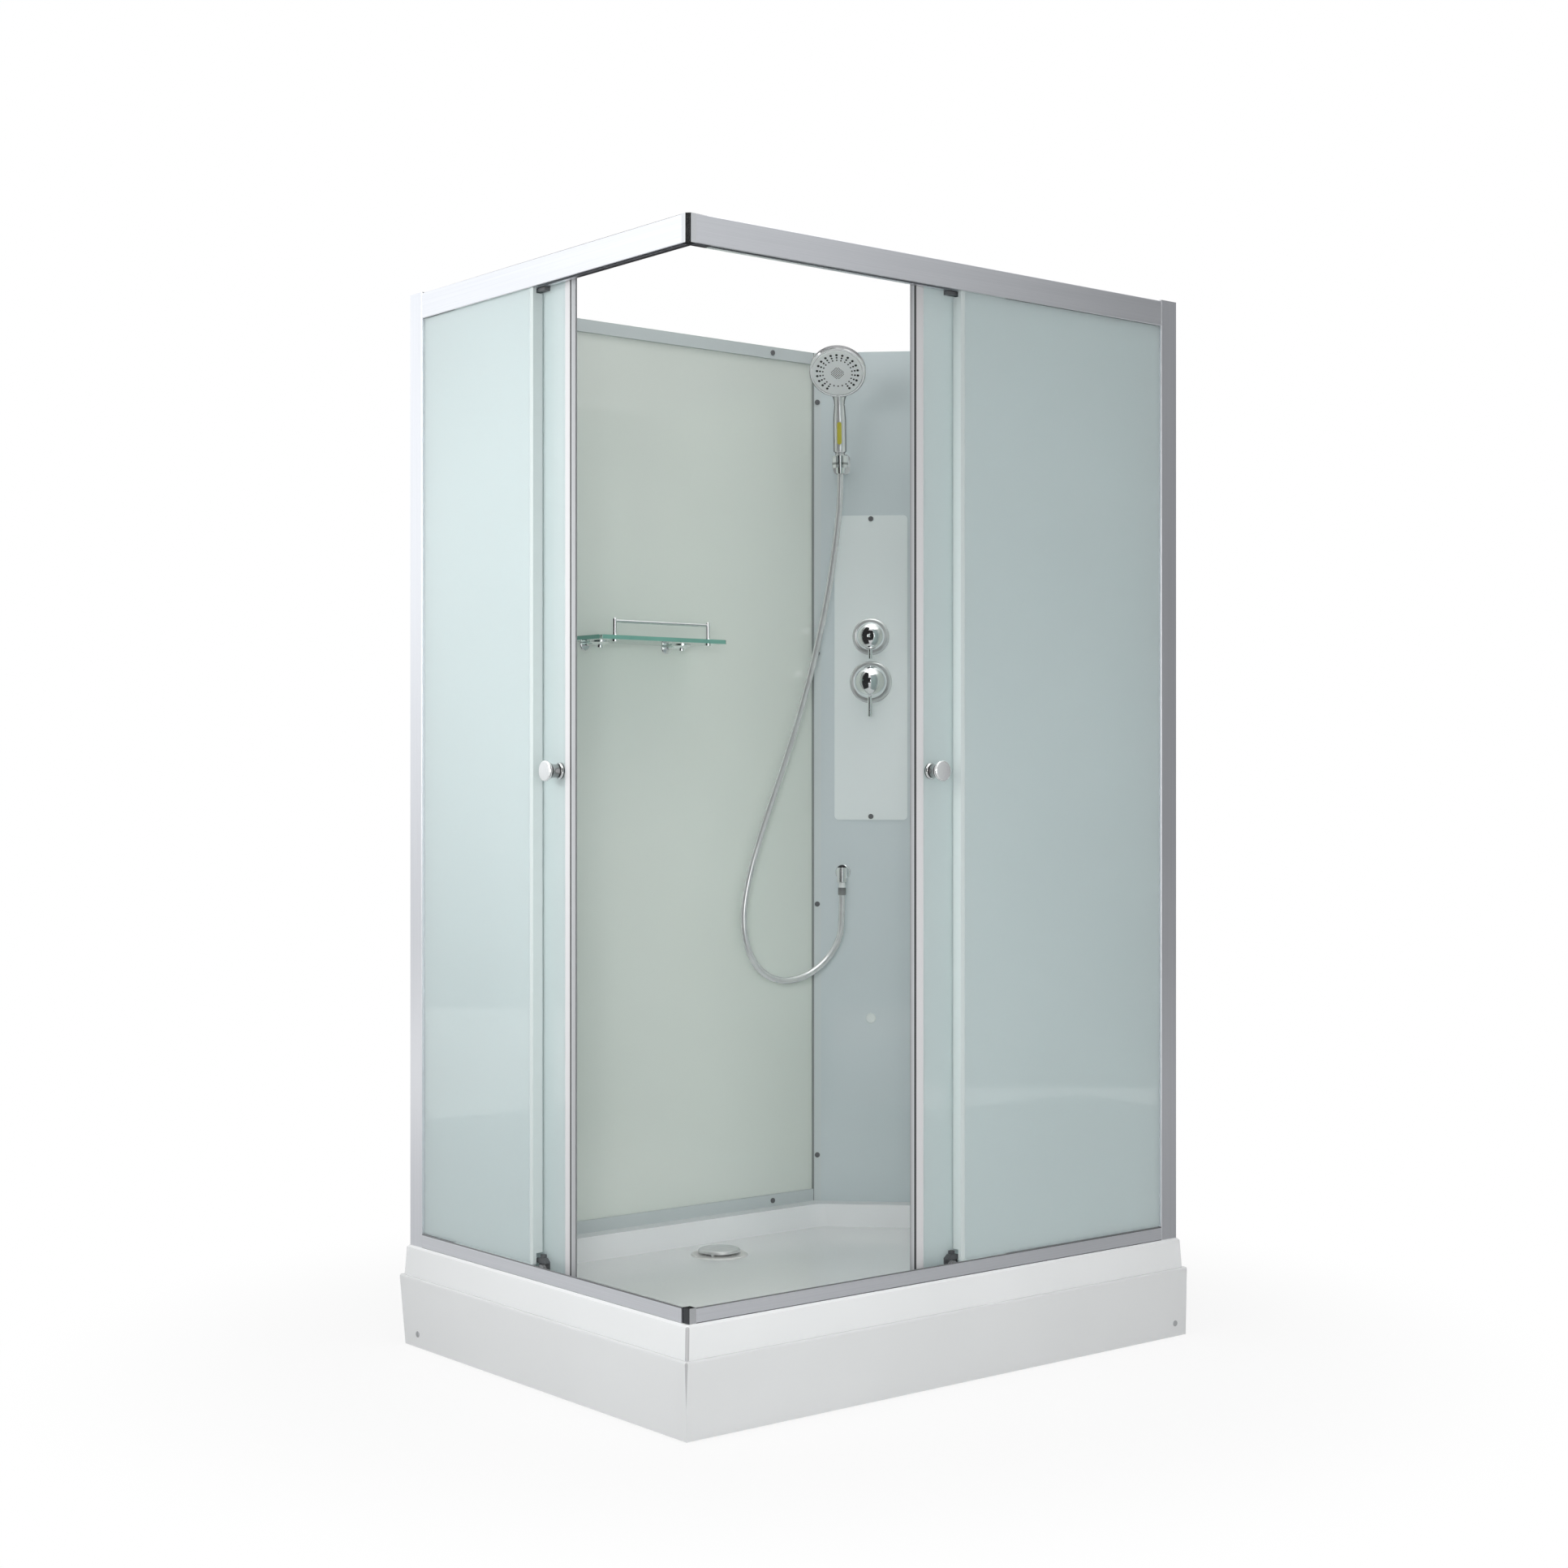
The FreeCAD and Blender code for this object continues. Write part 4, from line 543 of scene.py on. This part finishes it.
finishOf = {
    "tray": "tray", "tray_apron": "apron", "apron_screws": "greyCap", "tray_frame": "zincSteel",
    "levelling_feet": "darkPlastic", "waste_trap": "trapPlastic", "waste_cover": "wasteCap",
    "corner_joints": "corner", "panel_seals": "greySeal", "back_wall_glass": "wallGlass",
    "side_wall_glass": "wallGlass", "wall_rails": "wallMetal", "wall_profiles": "wallMetal",
    "screw_caps": "darkCap", "column_panel": "columnPanel", "control_plate": "controlPlate",
    "escutcheons": "plateChrome", "valve_body": "brass", "mixer_spindle": "brass", "mixer_handle": "chrome",
    "diverter_knob": "chrome", "outlet_pipe": "brass", "outlet_elbow": "elbow", "hose_lower_nut": "nutSteel",
    "blanking_plug": "blank", "shower_holder": "holder", "hose_upper_nut": "chrome",
    "handset_body": "handset", "handset_face": "sprayFace", "handset_grip_strip": "grip",
    "shower_hose": "hoseSteel", "shelf_glass": "shelfGlass", "shelf_brackets": "chrome",
    "shelf_gallery": "chrome", "left_header": "lineY", "right_header": "lineX",
}
for side in ("left", "right"):
    finishes.update({side + "Stile": stileSatin(side + "StileSatin", side),
                     side + "DoorSeal": doorSeal(side + "DoorSeal", side),
                     side + "Knob": knobPaintedReflections(side + "KnobChrome", side)})
    finishOf.update({side + "_post": "lineZ", side + "_fixed_glass": "frontGlass",
                     side + "_door_glass": "doorGlass", side + "_door_stile": side + "Stile",
                     side + "_door_seals": side + "DoorSeal", side + "_door_knobs": side + "Knob",
                     side + "_door_brackets": "darkPlastic", side + "_bottom_rail": side + "Rail"})
for node in nodes:
    finishOf.setdefault(node, "wheelPlastic")  # the wheels of the doors
print("finishes made,", len(finishes))


def wear(piece, finish):
    piece.data.materials.clear()
    piece.data.materials.append(finishes[finish])


for node, piece in nodes.items():
    wear(piece, finishOf[node])


def addPiece(name, mesh, finish, body, standsFor=()):
    piece = bpy.data.objects.new(name, mesh)
    scene.collection.objects.link(piece)
    wear(piece, finish)
    if body:
        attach(piece, body)
    for node in standsFor:
        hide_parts(node)
    return piece


# rounded nodes shown with smooth faces
smoothing = {"angle": 34, "merge": 1e-5, "nodes": [
    "tray", "tray_apron", "apron_screws", "levelling_feet", "waste_trap", "waste_cover", "screw_caps",
    "escutcheons", "mixer_handle", "diverter_knob", "outlet_pipe", "outlet_elbow", "hose_lower_nut",
    "blanking_plug", "shower_holder", "hose_upper_nut", "handset_body", "handset_grip_strip",
    "shelf_brackets", "shelf_gallery", "left_door_knobs", "right_door_knobs"]}


def smoothCopy(node):
    mesh = nodes[node].data.copy()
    for attribute in [a for a in mesh.attributes if a.name == "custom_normal"]:
        mesh.attributes.remove(attribute)
    bm = bmesh.new()
    bm.from_mesh(mesh)
    bmesh.ops.remove_doubles(bm, verts=bm.verts, dist=smoothing["merge"])
    limit = math.radians(smoothing["angle"])
    for face in bm.faces:
        face.smooth = True
    for edge in bm.edges:
        edge.smooth = len(edge.link_faces) == 2 and edge.calc_face_angle() < limit
    bm.to_mesh(mesh)
    bm.free()
    addPiece("smooth_" + node, mesh, finishOf[node], bodyOf[node], [node])


for node in smoothing["nodes"]:
    smoothCopy(node)
print("smooth pieces made,", len(smoothing["nodes"]))


# hand shower hose, from the wall elbow up to the handset, in metres; waist is the share left in a groove
hose = {"diameter": 0.014, "length": 1.427, "waist": 0.96, "resolution": 56, "roundness": 3,
        "route": [(0.42018, 0.35504, 0.820), (0.42018, 0.35504, 0.774), (0.40518, 0.34404, 0.726),
                  (0.36418, 0.34604, 0.678), (0.31218, 0.35104, 0.650), (0.25518, 0.35704, 0.643),
                  (0.20318, 0.36304, 0.665), (0.17018, 0.36704, 0.716), (0.16118, 0.36904, 0.786),
                  (0.17818, 0.36704, 0.872), (0.21218, 0.36304, 0.970), (0.25818, 0.35804, 1.085),
                  (0.30618, 0.35204, 1.215), (0.34518, 0.34704, 1.346), (0.37618, 0.34504, 1.470),
                  (0.39818, 0.34604, 1.585), (0.41089, 0.34857, 1.66612), (0.40475, 0.34243, 1.71536)]}


def curveMesh(name, curve):
    holder = bpy.data.objects.new(name, curve)
    scene.collection.objects.link(holder)
    mesh = bpy.data.meshes.new_from_object(holder.evaluated_get(bpy.context.evaluated_depsgraph_get()))
    bpy.data.objects.remove(holder)
    return mesh


def newCurve(name, kind, places):
    curve = bpy.data.curves.new(name, "CURVE")
    curve.dimensions = "3D"
    spline = curve.splines.new(kind)
    spline.points.add(len(places) - 1)
    for point, place in zip(spline.points, places):
        point.co = (*place, 1)
    return curve, spline


def hoseLine():
    curve, spline = newCurve("hoseLine", "NURBS", hose["route"])
    spline.order_u = 3
    spline.use_endpoint_u = True
    spline.resolution_u = hose["resolution"]
    line = curveMesh("hoseLine", curve)
    points = [v.co.copy() for v in line.vertices]
    bpy.data.meshes.remove(line)
    return points


def makeHose():
    points = hoseLine()
    curve, spline = newCurve("hoseTube", "POLY", points)
    curve.bevel_depth = hose["diameter"] / 2
    curve.bevel_resolution = hose["roundness"]
    curve.use_fill_caps = True
    for index in range(0, len(points), 2):
        spline.points[index].radius = hose["waist"]  # grooves of the metal wrap
    mesh = curveMesh("hoseTube", curve)
    for face in mesh.polygons:
        face.use_smooth = True
    piece = addPiece("showerHose", mesh, "hoseSteel", None, ["shower_hose"])
    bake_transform(piece, "cabin", "hose_end", start=(0.40475, 0.34243, 0.98), end=(0.40475, 0.34243, 1.70))


makeHose()
print("hose laid")


# the service column's own frame: x across it, y into the wall, z up
column = {"place": (0.481, 0.331, 0), "turn": -45}
columnFrame = Matrix.Translation(column["place"]) @ Matrix.Rotation(math.radians(column["turn"]), 4, "Z")
# spray face of the hand shower, in millimetres; the outer rings leave a gap at the bottom
spray = {"centre": (-62.0, -118.84, 1919.83), "tilt": 40.0, "front": 9.2, "spokes": 22, "bottomGap": 3,
         "gapRings": 2, "rings": [(43.0, 3.0), (36.7, 2.3), (30.8, 1.9)], "middle": 13.8, "middlePitch": 3.5,
         "middleDot": 1.2, "sides": 12, "taper": 0.8, "sunk": 0.2, "proud": 0.5}


def faceFrame():
    tilt = math.radians(spray["tilt"])
    out = Vector((0, -math.cos(tilt), -math.sin(tilt)))
    up = Vector((0, -math.sin(tilt), math.cos(tilt)))
    across = up.cross(out)
    turn = Matrix((across, up, out)).transposed().to_4x4()
    return columnFrame @ Matrix.Translation(Vector(spray["centre"]) * mm) @ turn


def addDot(bm, x, y, radius):
    level = spray["front"] - spray["sunk"]
    made = bmesh.ops.create_cone(bm, cap_ends=True, segments=spray["sides"], radius1=radius * mm,
                                 radius2=radius * spray["taper"] * mm, depth=spray["sunk"] * mm,
                                 matrix=Matrix.Translation(Vector((x, y, level)) * mm))
    top = [v for v in made["verts"] if v.co.z > level * mm]
    bmesh.ops.translate(bm, verts=top, vec=(0, 0, spray["proud"] * mm))


def makeNozzles():
    bm = bmesh.new()
    for ring, (reach, radius) in enumerate(spray["rings"]):
        for spoke in range(spray["spokes"]):
            fromBottom = min(spoke, spray["spokes"] - spoke)
            if ring < spray["gapRings"] and fromBottom * 2 < spray["bottomGap"]:
                continue
            angle = 2 * math.pi * spoke / spray["spokes"] - math.pi / 2
            addDot(bm, reach * math.cos(angle), reach * math.sin(angle), radius)
    # the middle dots stand on a square grid turned by 45 degrees
    steps = int(spray["middle"] / spray["middlePitch"]) + 2
    for i in range(-steps, steps + 1):
        for j in range(-steps, steps + 1):
            x = (i - j) * spray["middlePitch"] * math.sqrt(0.5)
            y = (i + j) * spray["middlePitch"] * math.sqrt(0.5)
            if math.hypot(x, y) < spray["middle"]:
                addDot(bm, x, y, spray["middleDot"])
    bm.transform(faceFrame())
    mesh = bpy.data.meshes.new("sprayNozzles")
    bm.to_mesh(mesh)
    bm.free()
    piece = addPiece("sprayNozzles", mesh, "nozzle", "spray_face")


makeNozzles()
print("spray nozzles made")


# white floor that keeps the shadow, and the white surroundings
stage = {"size": 14.0, "worldLight": 0.45, "floorGlow": 0.86, "fadeFrom": 0.75, "fadeTo": 1.5,
         "floorPaint": (0.9, 0.9, 0.9, 1), "white": (1, 1, 1, 1)}


def addStagePiece(name, bm):
    mesh = bpy.data.meshes.new(name)
    bm.to_mesh(mesh)
    bm.free()
    piece = bpy.data.objects.new(name, mesh)
    scene.collection.objects.link(piece)
    return piece


def seenFactor(f):
    sees = [f.node("ShaderNodeLightPath", out=name) for name in
            ("Is Camera Ray", "Is Glossy Ray", "Is Transmission Ray")]
    return sees[0].atLeast(sees[1]).atLeast(sees[2])


def makeFloor():
    bm = bmesh.new()
    bmesh.ops.create_grid(bm, x_segments=1, y_segments=1, size=stage["size"])
    floor = addStagePiece("floor", bm)
    f = Finish("floorWhite")
    paint = f.node("ShaderNodeBsdfDiffuse", {}, {"Color": stage["floorPaint"]})
    glow = f.node("ShaderNodeEmission", {}, {"Color": stage["white"], "Strength": 1.0})
    reach = f.node("ShaderNodeVectorMath", {"operation": "LENGTH"}, {0: f.place()}, out="Value")
    share = f.node("ShaderNodeMapRange", {"interpolation_type": "SMOOTHSTEP"},
                   {0: reach, 1: stage["fadeFrom"], 2: stage["fadeTo"], 3: stage["floorGlow"], 4: 1.0})
    floor.data.materials.append(f.output(f.blended(share * seenFactor(f), paint, glow)))


def makeWorld():
    world = bpy.data.worlds.new("whiteRoom")
    scene.world = world
    f = Finish("whiteRoom", world)
    strength = stage["worldLight"] + (1 - stage["worldLight"]) * seenFactor(f)
    light = f.node("ShaderNodeBackground", {}, {"Color": stage["white"], "Strength": strength})
    f.output(light, "ShaderNodeOutputWorld")


# soft lamps; spread is in degrees
lamps = {
    "topLight": {"place": (-0.3, -0.5, 4.3), "target": (0, 0, 0.5), "size": 3.0, "watts": 36,
                 "spread": 180, "inGloss": True},
    "sideLight": {"place": (-2.6, 0.1, 1.9), "target": (-0.586, 0.15, 1.5), "size": 1.8, "watts": 10.8,
                  "spread": 80, "inGloss": True},
    "fillLight": {"place": (-2.3, -4.9, 1.2), "target": (0.0, 0.2, 0.7), "size": 2.6, "watts": 46,
                  "spread": 180, "inGloss": True},
    "insideLight": {"place": (-2.6, -2.9, 1.25), "target": (0.3, 0.2, 0.72), "size": 0.7, "watts": 3.2,
                    "spread": 44, "inGloss": False},
}


def addLamp(name):
    look = lamps[name]
    data = bpy.data.lights.new(name, "AREA")
    data.size = look["size"]
    data.energy = look["watts"]
    data.spread = math.radians(look["spread"])
    lamp = bpy.data.objects.new(name, data)
    lamp.location = look["place"]
    aim = Vector(look["target"]) - Vector(look["place"])
    lamp.rotation_euler = aim.to_track_quat("-Z", "Y").to_euler()
    lamp.visible_camera = False
    lamp.visible_glossy = look["inGloss"]
    scene.collection.objects.link(lamp)


# boards that only the glossy surfaces see; each fades from its first value to its second along an axis
boardTint = (0.96, 0.98, 1)
boards = {
    "glow": {"place": (-2.6, 2.3, 1.9), "facing": (-0.586, 0, 1.2), "size": (3.4, 3.2), "axis": 2,
             "span": (0.2, 1.7), "light": (0.44, 1.08)},
    "shade": {"place": (2.6, -3.4, 1.6), "facing": (0, -0.436, 1.2), "size": (7.0, 5.4), "axis": 0,
              "span": (2.1, 3.3), "light": (0.66, 0.18)},
    "dusk": {"place": (-3.9, -3.9, 2.0), "facing": (-0.6, -0.45, 2.0), "size": (4.0, 4.2), "axis": 2,
             "span": (0.2, 1.6), "light": (0.10, 0.02)},
    "ground": {"place": (0, 0, 0.004), "facing": (0, 0, 3), "size": (6.0, 6.0), "axis": 0,
               "span": (-1.0, 1.0), "light": (0.56, 0.32)},
    "flag": {"place": (-0.535, 0.0, 1.6), "facing": (1, 0.0, 1.6), "size": (0.86, 3.0), "axis": 2,
             "span": (0.3, 2.9), "light": (0.03, 0.02)},
}


def addBoard(name):
    look = boards[name]
    bm = bmesh.new()
    bmesh.ops.create_grid(bm, x_segments=1, y_segments=1, size=0.5)
    bmesh.ops.scale(bm, verts=bm.verts, vec=(*look["size"], 1))
    turn = (Vector(look["facing"]) - Vector(look["place"])).to_track_quat("Z", "Y").to_matrix().to_4x4()
    bm.transform(Matrix.Translation(look["place"]) @ turn)
    board = addStagePiece(name + "Board", bm)
    f = Finish(name + "Board")
    low, high = look["span"]
    share = f.node("ShaderNodeMapRange", {}, {0: f.along(look["axis"]), 1: low, 2: high})
    colour = f.ramp(share, tinted(zip((0, 1), look["light"]), boardTint))
    glow = f.node("ShaderNodeEmission", {}, {"Color": colour, "Strength": 1.0})
    board.data.materials.append(f.output(glow))
    for way in ("camera", "diffuse", "transmission", "shadow", "volume_scatter"):
        setattr(board, "visible_" + way, False)


makeFloor()
makeWorld()
for name in lamps:
    addLamp(name)
for name in boards:
    addBoard(name)
scene.view_settings.view_transform = "Standard"
print("stage and lights set")
